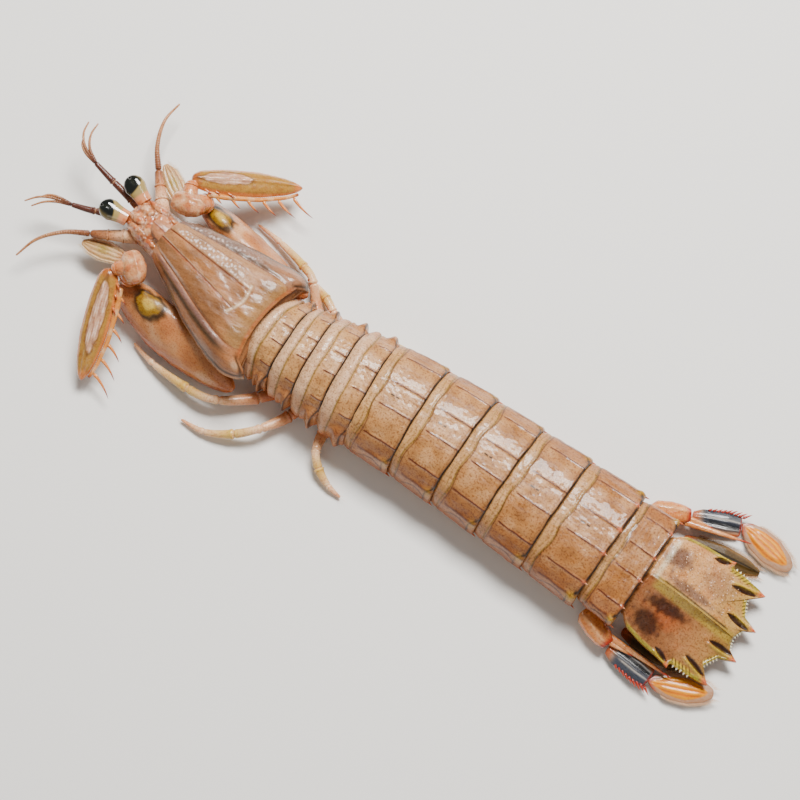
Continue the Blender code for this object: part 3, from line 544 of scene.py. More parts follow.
shield = {
    # station, half width, crest, edge
    "stations": ((5.0, 5.6, 16.6, 13.2), (7.0, 6.9, 17.3, 13.0), (14.0, 9.2, 18.5, 12.7),
                 (22.0, 12.0, 19.3, 12.4), (30.0, 14.3, 19.7, 12.3), (33.5, 14.8, 19.5, 12.3),
                 (35.2, 14.5, 19.1, 12.3), (36.3, 13.7, 18.6, 12.25), (37.0, 12.5, 18.2, 12.2)),
    "underside": 11.8, "rows": 110, "columns": 190, "underColumns": 16, "blendFrom": 22.0,
    "frontLip": ((2.6, 1.3), (0.5, 0.75), (-0.05, 0.4), (-0.1, 0.15)),
    "rearLip": ((0.15, 0.15), (0.12, 0.4), (-1.2, 0.7)),
    "outerGroove": 0.66, "outerDepth": 0.26, "innerGroove": (1.25, 1.9), "innerDepth": 0.22,
    "tan": (184, 142, 104), "warm": (208, 160, 116), "umber": (140, 106, 76),
    "wing": (196, 148, 110), "wingDark": (84, 74, 60), "wingBlue": (142, 136, 138),
    "mauve": (150, 128, 132), "sheen": (246, 238, 240),
    "rim": (84, 64, 48), "line": (116, 42, 20), "orange": (186, 116, 62), "white": (238, 220, 198),
    "rearOlive": (190, 164, 118),
    "lobule": (224, 206, 184), "under": (196, 150, 118),
}


def makeCarapace():
    table = shield["stations"]
    along, shift, inset = closedRows(shield["rows"], shield["frontLip"], shield["rearLip"])
    station = table[0][0] + (table[-1][0] - table[0][0]) * along
    half, crest, edge = (eased(station, table, column, 0.02) for column in (1, 2, 3))
    under = np.linspace(-0.97, 0.97, shield["underColumns"])
    arch = archShares(shield["columns"], (0.12, 0.3, 0.66), rise=7.0)
    side, height, across, onTop = closedSection(half, edge, crest, arch, under,
                                                shield["underside"] + 0.0 * (along + under))
    outSide, outHeight = sectionNormals(side, height)
    size = np.abs(across)

    inner = shield["innerGroove"][0] + shield["innerGroove"][1] * along
    innerOn = 1.0 - stepUp(along, 0.78, 0.84)
    outer = streak(size - shield["outerGroove"], 0.035) * span(along, 0.03, 0.12, 0.86, 0.97)
    cervical = streak(along - 0.78 - 0.03 * np.cos(side * 0.5), 0.014)      # the groove across
    cervical = cervical * stepUp(inner * 1.7 - np.abs(side), 0.0, 0.5)
    relief = (-shield["innerDepth"] * streak(np.abs(side) - inner, 0.22) * innerOn
              - shield["outerDepth"] * outer - 0.2 * cervical
              + 0.2 * streak(size - 0.5, 0.13) * stepUp(along, 0.03, 0.2)
              + 0.25 * streak(size - 0.82, 0.1) * stepUp(along, 0.1, 0.3)
              + 0.10 * ripple(station * 0.3, side, 4.6, 2) + 0.05 * ripple(station * 0.4, side, 1.9, 5)
              + 0.16 * streak(size - 0.985, 0.012))     # the thickened side rim
    relief = relief * onTop - inset * (0.4 + 0.6 * onTop)
    blend = np.clip((station - shield["blendFrom"]) / (neck["station"] - shield["blendFrom"]), 0.0, 1.0)
    reach = (neckStation(side) - neck["station"]) * blend
    bowed = (1.0 - along) ** 6 * (0.84 * across ** 2 - 0.54)     # the front edge bows forward
    place = bent(station + reach + shift + bowed, side + outSide * relief, height + outHeight * relief)

    wing = stepUp(size, 0.62, 0.68)
    cloudy = ripple(station * 0.5, side, 6.0, 3)
    between = stepUp(np.abs(side) - inner, 0.0, 0.5) * (1.0 - wing) * stepUp(0.85 - along, 0.0, 0.15)
    fading = 1.0 - stepUp(along, 0.78, 0.95)
    # painted shade: a dark stripe down the left wing
    shadedStripe = streak(across + 0.85 - 0.10 * along, 0.05) * stepUp(along, 0.02, 0.2) * fading
    violet = streak(across + 0.745 - 0.04 * along, 0.05) * stepUp(along, 0.0, 0.1) * fading
    stripeRight = streak(across - 0.70, 0.03) * stepUp(along, 0.3, 0.5) * fading
    rightLine = streak(across - 0.5 + 0.05 * along, 0.008) * span(along, 0.06, 0.14, 0.7, 0.76)
    veins = streak(np.sin((size - 0.6) * 36.0 + 0.5 * np.sin(along * 9.0)), 0.16) * wing
    rim = streak(size - 0.972, 0.012) * stepUp(along, 0.05, 0.12)
    rim = np.maximum(rim, streak(along - 0.985, 0.012) * stepUp(np.abs(side), 9.5, 11.0))
    lip = streak(along - 0.99, 0.012) * (1.0 - stepUp(np.abs(side), 9.0, 11.0))
    lobule = streak(across + 0.86, 0.05) * streak(along - 0.955, 0.03)
    # painted highlight: a crinkled white sheen beside the right groove and on the right wing, a smooth
    # one at the left
    crackle = ripple(station * 1.2, side * 1.4, 1.5, 5) + 0.5 * ripple(station, side, 0.8, 9)
    beside = stepUp(side - inner, 0.3, 0.7) * (1.0 - stepUp(across, 0.42, 0.5))
    sheen = stepUp(crackle, 0.1, 0.8) * span(along, 0.02, 0.1, 0.55, 0.76)
    sheen = sheen * (beside + 0.8 * streak(across - 0.74, 0.06))
    sheen = sheen + streak(across + 0.60, 0.035) * streak(along - 0.2, 0.16)
    tint = painted(
        shield["tan"], (shield["wing"], 0.9 * wing),
        (shield["wingBlue"], (0.7 - 0.45 * stepUp(along, 0.4, 0.85)) * wing * (across > 0.0)),
        (shield["warm"], 0.5 * stepUp(cloudy, 0.0, 0.9) * (1.0 - 0.7 * wing)),
        (shield["umber"], 0.5 * stepUp(-cloudy, 0.1, 0.9)),
        # painted highlight: the part outside the right groove is laid whiter, then the white sheen over
        # it
        (shield["white"], 0.2 * between * stepUp(across, -0.1, 0.2)), (shield["sheen"], 0.85 * sheen),
        # the matching part outside the left groove is laid darker umber
        (shield["umber"], 0.5 * between * stepUp(-across, 0.1, 0.4)),
        # the left wing's stripe is painted shade; the right one is a dark line
        (shield["mauve"], 0.7 * violet), (shield["wingDark"], 0.85 * shadedStripe + 0.5 * stripeRight),
        (shield["wingDark"], 0.25 * veins), (shield["line"], 0.55 * rightLine),
        (shield["orange"], 0.5 * streak(side + inner + 0.25, 0.2) * innerOn),
        (shield["white"], 0.5 * streak(side + inner - 0.25, 0.14) * innerOn),
        (shield["line"], 0.9 * streak(np.abs(side) - inner, 0.14) * innerOn),
        (shield["line"], 0.5 * streak(size - 0.655, 0.007) * stepUp(along, 0.05, 0.1)),
        # painted highlight: white along the cervical groove
        (shield["white"], 0.8 * cervical),
        (shield["rearOlive"], 0.4 * stepUp(along, 0.8, 0.92) * (1.0 - wing)),
        (shield["lobule"], 0.6 * lobule), (shield["rim"], 0.8 * rim), (shield["orange"], 0.7 * lip),
        (shield["lobule"], 0.35 * stepUp(size, 0.988, 1.0)), (shield["under"], 1.0 - onTop))
    bm = bmesh.new()
    addGrid(bm, *withPoles(place, tint))
    finishPiece(bm, "carapace_shield", "carapace", ("carapace",))


rostrum = {
    "length": 4.6, "profile": ((0.0, 0.85), (0.22, 1.9), (0.65, 2.4), (1.0, 2.6)),
    "height": 14.45, "thickness": 0.55, "camber": 0.35, "squareness": 0.8,
    "frontLip": ((0.25, 0.4), (0.02, 0.2)), "rearLip": ((0.1, 0.2), (0.0, 0.4)),
    "tan": (200, 152, 118), "pale": (230, 188, 160), "line": (134, 58, 34), "edge": (150, 92, 56),
}


def makeRostrum():
    along, shift, inset = closedRows(30, rostrum["frontLip"], rostrum["rearLip"])
    angle = np.linspace(0.0, 2.0 * math.pi, 61)
    cosine, sine = (signedPower(wave(angle), rostrum["squareness"]) for wave in (np.cos, np.sin))
    side = (eased(along, rostrum["profile"]) - inset) * cosine
    height = rostrum["height"] + np.maximum(rostrum["thickness"] - inset, 0.05) * sine
    height = height - rostrum["camber"] * cosine * cosine + 0.15 * streak(side, 0.35) * (sine > 0)
    run = rostrum["length"] * along
    tint = painted(rostrum["tan"], (rostrum["pale"], 0.6 * stepUp(ripple(run, side, 2.0, 1), 0, 1)),
                   (rostrum["line"], 0.7 * streak(side, 0.12)),
                   (rostrum["edge"], 0.6 * stepUp(np.abs(cosine), 0.94, 1.0)))
    bm = bmesh.new()
    addGrid(bm, *withPoles(bent(run + shift, side, height), tint))
    finishPiece(bm, "rostral_cap", "carapace", ("rostral_plate",))


makeCarapace()
makeRostrum()
print("carapace made")

headShape = {
    # station, half width, top, bottom
    "stations": ((-7.0, 3.2, 10.8, 7.8), (-5.5, 4.5, 12.0, 6.4), (-2.0, 5.3, 12.9, 5.4),
                 (4.4, 5.4, 13.2, 5.0), (6.0, 5.6, 12.6, 5.0), (16.0, 7.6, 11.8, 4.6),
                 (28.0, 8.6, 11.8, 4.5), (35.2, 8.8, 11.4, 4.6)),
    # first station, last station and count; the lobed front is finer
    "rows": ((-7.0, 8.0, 100), (8.6, 35.2, 60)), "columns": 133, "squareness": 0.78,
    # station, side, half length, half width and height of the soft lobes, in pairs
    "lobes": ((-4.6, 1.5, 2.5, 1.1, 0.8), (-2.6, 4.1, 3.0, 1.2, 1.0), (0.6, 1.9, 1.8, 1.5, 0.4),
              (2.6, 4.6, 2.6, 1.2, 0.8), (-6.2, 3.0, 1.3, 1.2, 0.5)),
    "pink": (220, 170, 130), "pale": (242, 212, 184), "red": (202, 118, 66), "crease": (132, 76, 46),
    "rear": (190, 140, 106), "glint": (250, 236, 222),
}


def makeHead():
    table = headShape["stations"]
    stations = np.concatenate([np.linspace(*stretch) for stretch in headShape["rows"]])[:, None]
    half, top, bottom = (eased(stations, table, column, 0.012) for column in (1, 2, 3))
    angle = np.linspace(0.0, 2.0 * math.pi, headShape["columns"])
    cosine, sine = (signedPower(wave(angle), headShape["squareness"]) for wave in (np.cos, np.sin))
    side = half * cosine
    height = (top + bottom) / 2.0 + sine * (top - bottom) / 2.0
    upward = np.clip(sine, 0.0, 1.0)
    soft = stepUp(10.0 - stations, 0.0, 5.0)
    crease = 0.0
    for middle, out, halfLength, halfWidth, tall in headShape["lobes"]:
        near = np.hypot((stations - middle) / halfLength, (np.abs(side) - out) / halfWidth)
        height = height + tall * np.sqrt(np.clip(1.0 - near * near * 0.8, 0.0, 1.0)) * upward
        # a ring round each lobe, for painted shade in its crease
        crease = np.maximum(crease, streak(near - 1.12, 0.12) * upward)
    bumps = 0.13 * ripple(stations, side, 2.6, 3, height) + 0.05 * ripple(stations, side, 1.2, 6, height)
    place = bent(stations + 0.0 * side, side + cosine * bumps * soft, height + sine * bumps * soft)
    patch = ripple(stations, side, 3.4, 5, height)
    fleck = ripple(stations, side, 1.3, 8, height)
    tint = painted(headShape["pink"], (headShape["pale"], 0.6 * stepUp(patch, 0.0, 0.9)),
                   (headShape["red"], 0.7 * stepUp(-patch, 0.1, 0.9)),
                   (headShape["glint"], 0.55 * stepUp(fleck, 0.4, 0.9) * upward * soft),
                   (headShape["crease"], 0.4 * stepUp(-fleck, 0.5, 1.0) * soft),
                   # painted shade: the creases round the lobes are laid darker
                   (headShape["crease"], 0.6 * crease * soft), (headShape["rear"], 0.6 * (1.0 - soft)))
    bm = bmesh.new()
    addGrid(bm, *withPoles(place, tint))
    finishPiece(bm, "head_flesh", "flesh", ("head",))


senses = {
    "eye": {"left": (-7.4, -3.5, 11.4, 18.0), "right": (-7.4, 2.9, 11.4, -12.0)},
    "eyePitch": -12.0, "eyeLength": 6.0, "stalkInside": 1.4,    # mm of stalk within the head
    "eyeProfile": ((0.0, 1.8, 1.4), (0.25, 1.95, 1.45), (0.42, 2.2, 1.5), (0.60, 2.6, 1.55),
                   (0.80, 2.35, 1.45), (0.93, 1.6, 1.1), (1.0, 0.7, 0.5)),
    "antennules": {
        "left": ((-6.0, -1.8, 9.4), (-8.3, -2.4, 8.7), (-11.0, -4.6, 8.6), (-15.0, -7.4, 9.0),
                 (-19.0, -9.6, 9.4), (-23.0, -11.4, 9.6), (-26.0, -13.6, 9.2), (-28.0, -16.6, 8.6)),
        "right": ((-5.6, 1.0, 9.4), (-7.9, 1.1, 8.9), (-12.0, 1.2, 9.4), (-17.0, 1.2, 10.2),
                  (-22.0, 1.4, 10.8), (-26.5, 2.4, 11.0), (-29.5, 4.6, 10.8), (-31.0, 7.6, 10.2))},
    "stalkPoints": 5,      # of these, the ones before the whips part
    "whips": ((0.0, 0.0, 1.0), (0.8, 0.5, 0.85), (-0.7, -0.5, 0.7)),   # turn, lift, share of length
    "antenna": ((-2.0, 4.0, 8.4), (-4.6, 5.9, 7.9), (-7.6, 8.2, 7.5), (-11.4, 11.2, 7.2),
                (-16.0, 15.4, 7.6), (-19.4, 21.0, 7.2), (-20.6, 27.0, 5.6)),
    "scalePlace": (-0.8, 9.2, 5.4, 158.0), "scaleLength": 12.0,
    "scaleProfile": ((0.0, 0.7, 0.4), (0.2, 2.0, 0.5), (0.5, 2.6, 0.5), (0.8, 2.1, 0.4), (1.0, 0.6, 0.3)),
    "mauve": (126, 82, 68), "brown": (160, 112, 82), "pale": (206, 164, 128), "ring": (238, 206, 176),
    "cornea": (38, 44, 38), "olive": (184, 166, 118), "stalk": (222, 168, 128), "waist": (84, 88, 62),
    "scale": (220, 192, 152), "scaleRib": (160, 134, 88), "scaleEdge": (246, 228, 204),
    "scaleSpot": (178, 164, 80),
}


def makeEyes():
    for word, side in sides:
        station, across, height, yaw = senses["eye"][word]
        length = senses["eyeLength"] + senses["stalkInside"]
        place, share, cosine = limbGrid(senses["eyeProfile"], length, 80, 64, 2.2)
        place[..., 0] -= senses["stalkInside"]
        place[..., 0] -= 0.6 * streak(np.abs(cosine), 0.35) * stepUp(share, 0.7, 1.0)
        place[..., 2] *= 1.0 - 0.06 * streak(np.abs(cosine), 0.25) * stepUp(share, 0.55, 0.75)
        patch = ripple(place[..., 0], place[..., 1], 2.0, 4, place[..., 2])
        glass = stepUp(share + 0.14 * cosine - 0.08 * cosine * cosine, 0.48, 0.55)
        tint = painted(senses["stalk"], (headShape["red"], 0.5 * stepUp(patch, 0.1, 0.9)),
                       (senses["olive"], stepUp(share, 0.24, 0.34)), (senses["cornea"], glass),
                       (senses["olive"], 0.6 * glass * stepUp(cosine * -side, 0.5, 0.98)),
                       (senses["waist"], 0.35 * streak(cosine, 0.12) * stepUp(share, 0.62, 0.7)))
        forward = placed(station, across, height, 180.0 + yaw, senses["eyePitch"])
        bm = bmesh.new()
        addGrid(bm, moved(place, forward), tint)
        finishPiece(bm, f"stalked_eye_{word}", "eye", (f"eye_{word}",))


def ringedTube(bm, points, radii, joints, colours, ringPitch=0.0, around=16, rows=160, cap=0.02):
    # a feeler or limb along bent points, pinched at its joints and ringed where it is fine
    path = smoothPath(points, rows)
    share = np.linspace(0.0, 1.0, rows)
    radius = np.interp(share, np.linspace(0.0, 1.0, len(radii)), radii) * capped(share, cap)
    for joint in joints:
        pinch = 0.22 * streak(share - joint, 0.008)
        radius = radius * (1.0 - pinch + 0.14 * streak(share - joint - 0.02, 0.014))
    if ringPitch:
        run = np.concatenate([[0.0], np.cumsum(np.linalg.norm(np.diff(path, axis=0), axis=1))])
        radius = radius * (1.0 + 0.08 * np.sin(run * 2.0 * math.pi / ringPitch))
    rings = sweepRings(bent(*path.T), radius, radius, around)
    steps = np.linspace(0.0, 1.0, len(colours))
    pitch = steps[1]
    coats = [(colour, 1.0 - np.abs(share - place) / pitch) for place, colour in zip(steps, colours)]
    tint = sum(srgb(*colour) * np.clip(amount, 0.0, 1.0)[:, None] for colour, amount in coats)
    for joint in joints:
        seam = 0.6 * streak(share - joint, 0.008)[:, None]
        tint = tint * (1.0 - seam) + srgb(*senses["ring"]) * seam
    addGrid(bm, rings, tint[:, None, :])


def leafFringe(bm, profile, length, matrix, count, reach, rootColour, tipColour, low=0.25):
    # hairs along both of a leaf's margins
    for edge in (-1.0, 1.0):
        for step in range(count):
            share = low + (0.985 - low) * step / (count - 1)
            wide = edgeAt(share, profile) * 0.94
            lean = 0.5 + 0.9 * share
            hair = reach * (0.75 + 0.25 * math.sin(step * 2.7)) * (0.7 + 0.5 * share)
            root = (share * length, edge * wide, 0.0)
            tip = (share * length + hair * math.sin(lean), edge * (wide + hair * math.cos(lean)),
                   0.06 * math.sin(step * 1.9))
            spine(bm, *moved((root, tip), matrix), 0.07, rootColour, tipColour, around=3, rows=3)


def makeFeelers():
    for word, side in sides:
        points = senses["antennules"][word]
        parting = senses["stalkPoints"]
        bm = bmesh.new()
        ringedTube(bm, points[:parting], (1.15, 1.1, 0.95, 0.8, 0.6), (0.36, 0.68),
                   (headShape["pink"], senses["brown"], senses["mauve"], senses["mauve"]))
        last = np.array(points[parting - 1])
        for turn, lift, cut in senses["whips"]:
            whip = [tuple(last)]
            for step, point in enumerate(points[parting:], 1):
                station, across, height = last + (np.array(point) - last) * cut
                whip.append((station + 0.3 * turn * step, across + 0.9 * turn * step,
                             height + 0.5 * lift))
            ringedTube(bm, whip, (0.5, 0.36, 0.28, 0.18), (),
                       (senses["mauve"], senses["pale"], senses["pale"]),
                       ringPitch=0.55, around=10, rows=150)
        finishPiece(bm, f"antennule_whips_{word}", "feeler", (f"antennule_{word}",))

        bm = bmesh.new()
        drawn = [(station, across * side, height) for station, across, height in senses["antenna"]]
        ringedTube(bm, drawn[:4], (1.7, 1.6, 1.3, 0.9), (0.36, 0.68),
                   (headShape["pink"], headShape["pale"], headShape["pink"], senses["brown"]), cap=0.05)
        ringedTube(bm, drawn[3:], (0.8, 0.55, 0.4, 0.22), (),
                   (senses["brown"], senses["pale"], senses["pale"]),
                   ringPitch=0.6, around=12, rows=220)
        finishPiece(bm, f"antenna_whip_{word}", "feeler", (f"antenna_{word}",))

        station, across, height, yaw = senses["scalePlace"]
        outward = placed(station, across * side, height, yaw * side)
        place, share, cosine = limbGrid(senses["scaleProfile"], senses["scaleLength"], 60, 48)
        ribs = np.sin(cosine * 14.0)
        place[..., 2] += 0.12 * ribs * np.sign(place[..., 2]) * capped(share, 0.2)
        spot = streak(np.hypot((share - 0.55) / 0.16, cosine / 0.5), 0.8)
        tint = painted(senses["scale"], (senses["scaleRib"], 0.65 * stepUp(-ribs, 0.2, 0.9)),
                       (headShape["red"], 0.35 * (1.0 - stepUp(share, 0.1, 0.3))),
                       (senses["scaleSpot"], 0.8 * spot),
                       (senses["scaleEdge"], 0.5 * stepUp(np.abs(cosine), 0.8, 1.0)))
        bm = bmesh.new()
        addGrid(bm, moved(place, outward), tint)
        leafFringe(bm, senses["scaleProfile"], senses["scaleLength"], outward, 70, 1.3,
                   senses["scale"], senses["scaleEdge"])
        finishPiece(bm, f"oval_scale_{word}", "leg", (f"antennal_scale_{word}",))


makeHead()
makeEyes()
makeFeelers()
print("head, eyes and feelers made")

claw = {
    "armStations": (1.8, 38.0),
    "arm": {"left": (15.0, 6.6, 36.0), "right": (12.9, 5.9, 60.0)},   # side, height, lean
    "armProfile": ((0.0, 1.4, 1.0), (0.06, 3.4, 2.3), (0.2, 5.0, 3.1), (0.42, 5.9, 3.5),
                   (0.66, 5.2, 3.2), (0.86, 3.4, 2.4), (1.0, 1.4, 1.2)),
    # share of length, angle, and the spread of both
    "saddle": {"left": (0.29, 2.2, 0.105, 0.6), "right": (0.19, 2.6, 0.105, 0.6)},
    "wrist": {"left": (4.6, -10.9, 13.9, -30.0), "right": (2.6, 8.8, 14.3, 24.0)},
    "wristLength": 8.2, "armEnd": (4.6, 13.6, 9.4), "elbowHeight": 12.0,
    "wristProfile": ((0.0, 2.5, 2.2), (0.2, 2.8, 2.5), (0.55, 3.0, 2.7), (0.85, 2.4, 2.2),
                     (1.0, 1.4, 1.3)),
    "hand": {"left": (0.6, -14.6, 13.2, -63.0, 20.0), "right": (-1.4, 13.6, 14.2, 47.0, 19.0)},
    "handLength": 27.0,
    "handProfile": ((0.0, 1.3, 1.0), (0.08, 2.5, 1.5), (0.3, 3.2, 1.8), (0.6, 3.2, 1.7),
                    (0.84, 2.2, 1.2), (0.95, 1.2, 0.8), (1.0, 0.3, 0.3)),
    "combTeeth": 46, "rootSpines": ((0.10, 2.6), (0.20, 1.5), (0.31, 2.2)),
    "bladeSpan": (3.6, 26.0), "bladeWidth": 1.5, "bladeThickness": 1.2, "bladeOut": -0.1, "teeth": 6,
    "toothReach": (1.2, 4.6), "toothSlant": 1.1, "toothStart": 0.45, "toothRadius": 0.46,
    "peach": (214, 164, 120), "pale": (238, 212, 184), "deep": (194, 116, 60), "brown": (170, 112, 70),
    "red": (188, 98, 46), "green": (172, 142, 50), "greenLit": (222, 200, 118), "greenRim": (58, 48, 22),
    "rim": (228, 160, 104), "tip": (140, 40, 24), "spike": (230, 172, 102), "olive": (196, 160, 92),
    "wristTan": (222, 174, 134), "panelPink": (222, 188, 168), "panelLine": (122, 90, 62),
    "panelGrey": (172, 136, 118), "panelLit": (244, 226, 214),
    # the hand's pale panel: share of length, toward the blade, half length and half width
    "panel": {"left": (0.42, 0.06, 0.34, 0.52), "right": (0.30, -0.12, 0.24, 0.5)},
}


def makeArm(word, side):
    front, rear = claw["armStations"]
    middle, rise, lean = claw["arm"][word]
    tilt = math.radians(lean)
    share = (0.5 - 0.5 * np.cos(np.linspace(0.0, math.pi, 120)))[:, None]
    angle = np.linspace(0.0, 2.0 * math.pi, 105)[None, :]
    deep, thick = (eased(share, claw["armProfile"], column) * capped(share, 0.05) for column in (1, 2))
    saddleShare, saddleAngle, longSpread, roundSpread = claw["saddle"][word]
    run, girth = share * (rear - front), angle * 5.0
    ragged = 1.0 + 0.12 * ripple(run, girth, 3.1, 6)
    near = np.hypot((share - saddleShare) / longSpread, (angle - saddleAngle) / roundSpread) * ragged
    saddle = streak(near, 0.95)
    swell = 1.0 + 0.04 * np.sin(angle * 3.0 + 1.0) * stepUp(share, 0.1, 0.4)
    swell = swell + 0.015 * ripple(run, girth, 5.0, 3)
    out = deep * np.cos(angle) * swell + 0.25 * streak(angle - 0.15, 0.08) * stepUp(share, 0.15, 0.4)
    up = thick * np.sin(angle) * swell + 0.55 * saddle
    across = middle + out * math.cos(tilt) + up * math.sin(tilt)
    height = rise - out * math.sin(tilt) + up * math.cos(tilt)
    cloudy = ripple(run, girth, 9.0, 4)
    # deep orange below: partly the arm's own orange lower edge, partly painted shade where it faces down
    lower = stepUp(rise + 1.2 - height, 0.0, 3.2)
    speckled = ripple(run * 4.0, girth * 4.0, 3.0, 7)
    tint = painted(
        claw["peach"], (claw["pale"], 0.45 * stepUp(cloudy, 0.0, 0.9)),
        (claw["brown"], 0.35 * stepUp(-cloudy, 0.0, 0.9)), (claw["deep"], 0.7 * lower),
        (claw["red"], 0.3 * stepUp(share, 0.82, 0.98)),
        (claw["rim"], 0.6 * streak(angle - 0.12, 0.05) * stepUp(share, 0.2, 0.5)),
        (claw["greenRim"], 0.85 * streak(near - 1.0, 0.24)),
        (claw["green"], 0.95 * stepUp(0.95 - near, 0.0, 0.15)),
        (claw["greenRim"], 0.5 * stepUp(speckled, 0.3, 0.9) * streak(near - 0.75, 0.3)),
        (claw["greenLit"], 0.8 * stepUp(0.55 - near, 0.0, 0.25)))
    bm = bmesh.new()
    addGrid(bm, bent(front + run + 0.0 * angle, across * side, height), tint)
    finishPiece(bm, f"claw_arm_{word}", "arm", (f"claw_{word}_merus",))


def makeWrist(word, side):
    station, across, height, yaw = claw["wrist"][word]
    length = claw["wristLength"]
    place, share, cosine = limbGrid(claw["wristProfile"], length, 80, 76, 2.1)
    rounding = np.sqrt(np.clip(1.0 - (2.0 * share - 1.0) ** 2, 0.0, 1.0)) ** 0.5
    place[..., 1:] *= (0.25 + 0.75 * rounding)[..., None]
    place[..., 0] -= length / 2.0
    x, y, z = (place[..., axis].copy() for axis in range(3))
    place[..., 1:] *= (1.0 + 0.03 * ripple(x, y, 2.6, 5, z) + 0.01 * ripple(x, y, 1.1, 7, z))[..., None]
    place[..., 2] += 0.3 * streak(y - 0.9, 0.4) * (z > 0) * capped(share, 0.3)
    patch = ripple(x, y, 3.0, 2, z)
    tint = painted(claw["wristTan"], (claw["pale"], 0.6 * stepUp(patch, 0.0, 0.9)),
                   (headShape["red"], 0.45 * stepUp(-patch, 0.2, 0.9)),
                   (claw["deep"], 0.6 * stepUp(share, 0.85, 1.0)))
    bm = bmesh.new()
    addGrid(bm, moved(place, placed(station, across, height, yaw)), tint)
    handStation, handAcross, handHeight = claw["hand"][word][:3]
    endStation, endAcross, endHeight = claw["armEnd"]
    # soft joints to the hand and down to the arm
    toHand = ((station, across, height),
              ((station + handStation) / 2.0, (across + handAcross) / 2.0, height),
              (handStation + 0.4, handAcross + 0.2 * side, handHeight))
    toArm = ((station, across, height),
             ((station + endStation) / 2.0, (across + endAcross * side) / 2.0, claw["elbowHeight"]),
             (endStation, endAcross * side, endHeight))
    shades = (claw["wristTan"], claw["rim"])
    ringedTube(bm, toHand, (2.2, 1.9, 1.3), (0.72,), shades, around=24, rows=50, cap=0.2)
    ringedTube(bm, toArm, (2.4, 2.4, 2.0), (0.7,), shades, around=24, rows=50, cap=0.2)
    finishPiece(bm, f"claw_wrist_{word}", "flesh", (f"claw_{word}_carpus",))


def makeHand(word, side):
    station, across, height, yaw, pitch = claw["hand"][word]
    matrix = placed(station, across, height, yaw, pitch)
    length, profile = claw["handLength"], claw["handProfile"]
    place, share, cosine = limbGrid(profile, length, 120, 104, 1.85)
    inner = cosine * -side      # 1 along the edge that the toothed blade folds against
    place[..., 2] *= 1.0 - 0.25 * stepUp(np.abs(cosine), 0.7, 1.0)
    place[..., 2] += 0.3 * streak(inner + 0.1, 0.16) * (place[..., 2] > 0) * capped(share, 0.2)
    place[..., 2] += 0.05 * ripple(place[..., 0], place[..., 1], 1.9, 3)
    panelShare, panelInner, panelLong, panelWide = claw["panel"][word]
    near = np.hypot((share - panelShare) / panelLong, (inner - panelInner) / panelWide)
    near = near * (1.0 + 0.08 * ripple(place[..., 0], place[..., 1], 4.0, 3))
    sheen = ripple(place[..., 0] * 0.6, place[..., 1], 1.8, 6)
    fibres = ripple(place[..., 0] * 0.16, place[..., 1] * 1.4, 1.1, 8) + 0.4 * sheen
    panel = stepUp(1.0 - near, 0.0, 0.14)
    tint = painted(
        claw["olive"], (claw["brown"], 0.3 * stepUp(-sheen, 0.1, 0.9)),
        (claw["rim"], 0.85 * stepUp(np.abs(inner), 0.74, 0.92)),
        (claw["rim"], 0.8 * stepUp(share, 0.88, 0.96)), (claw["tip"], 0.5 * stepUp(share, 0.975, 1.0)),
        (claw["deep"], 0.7 * (1.0 - stepUp(share, 0.02, 0.1))),
        (claw["panelLine"], 0.6 * streak(near - 1.0, 0.08)), (claw["panelPink"], 0.85 * panel),
        (claw["panelGrey"], 0.6 * stepUp(-fibres, 0.1, 0.7) * panel),
        (claw["panelLit"], 0.8 * stepUp(fibres, 0.2, 0.8) * panel))
    bm = bmesh.new()
    addGrid(bm, moved(place, matrix), tint)
    for step in range(claw["combTeeth"]):       # fine comb along the inner edge
        spot = 0.10 + 0.84 * step / (claw["combTeeth"] - 1)
        wide = edgeAt(spot, profile)
        ends = moved(((spot * length, -side * wide * 0.93, 0.25),
                      (spot * length + 0.25, -side * (wide + 0.55), 0.35)), matrix)
        spine(bm, *ends, 0.16, claw["rim"], claw["pale"], around=4, rows=3)
    for spot, reach in claw["rootSpines"]:
        wide = edgeAt(spot, profile)
        ends = moved(((spot * length, -side * wide * 0.9, 0.5),
                      (spot * length + reach * 0.8, -side * (wide + reach * 0.5), 1.1)), matrix)
        spine(bm, *ends, 0.42, claw["rim"], claw["tip"], around=8, rows=7)
    finishPiece(bm, f"claw_hand_{word}", "hand", (f"claw_{word}_propodus",))
    makeBlade(word, -side, matrix)


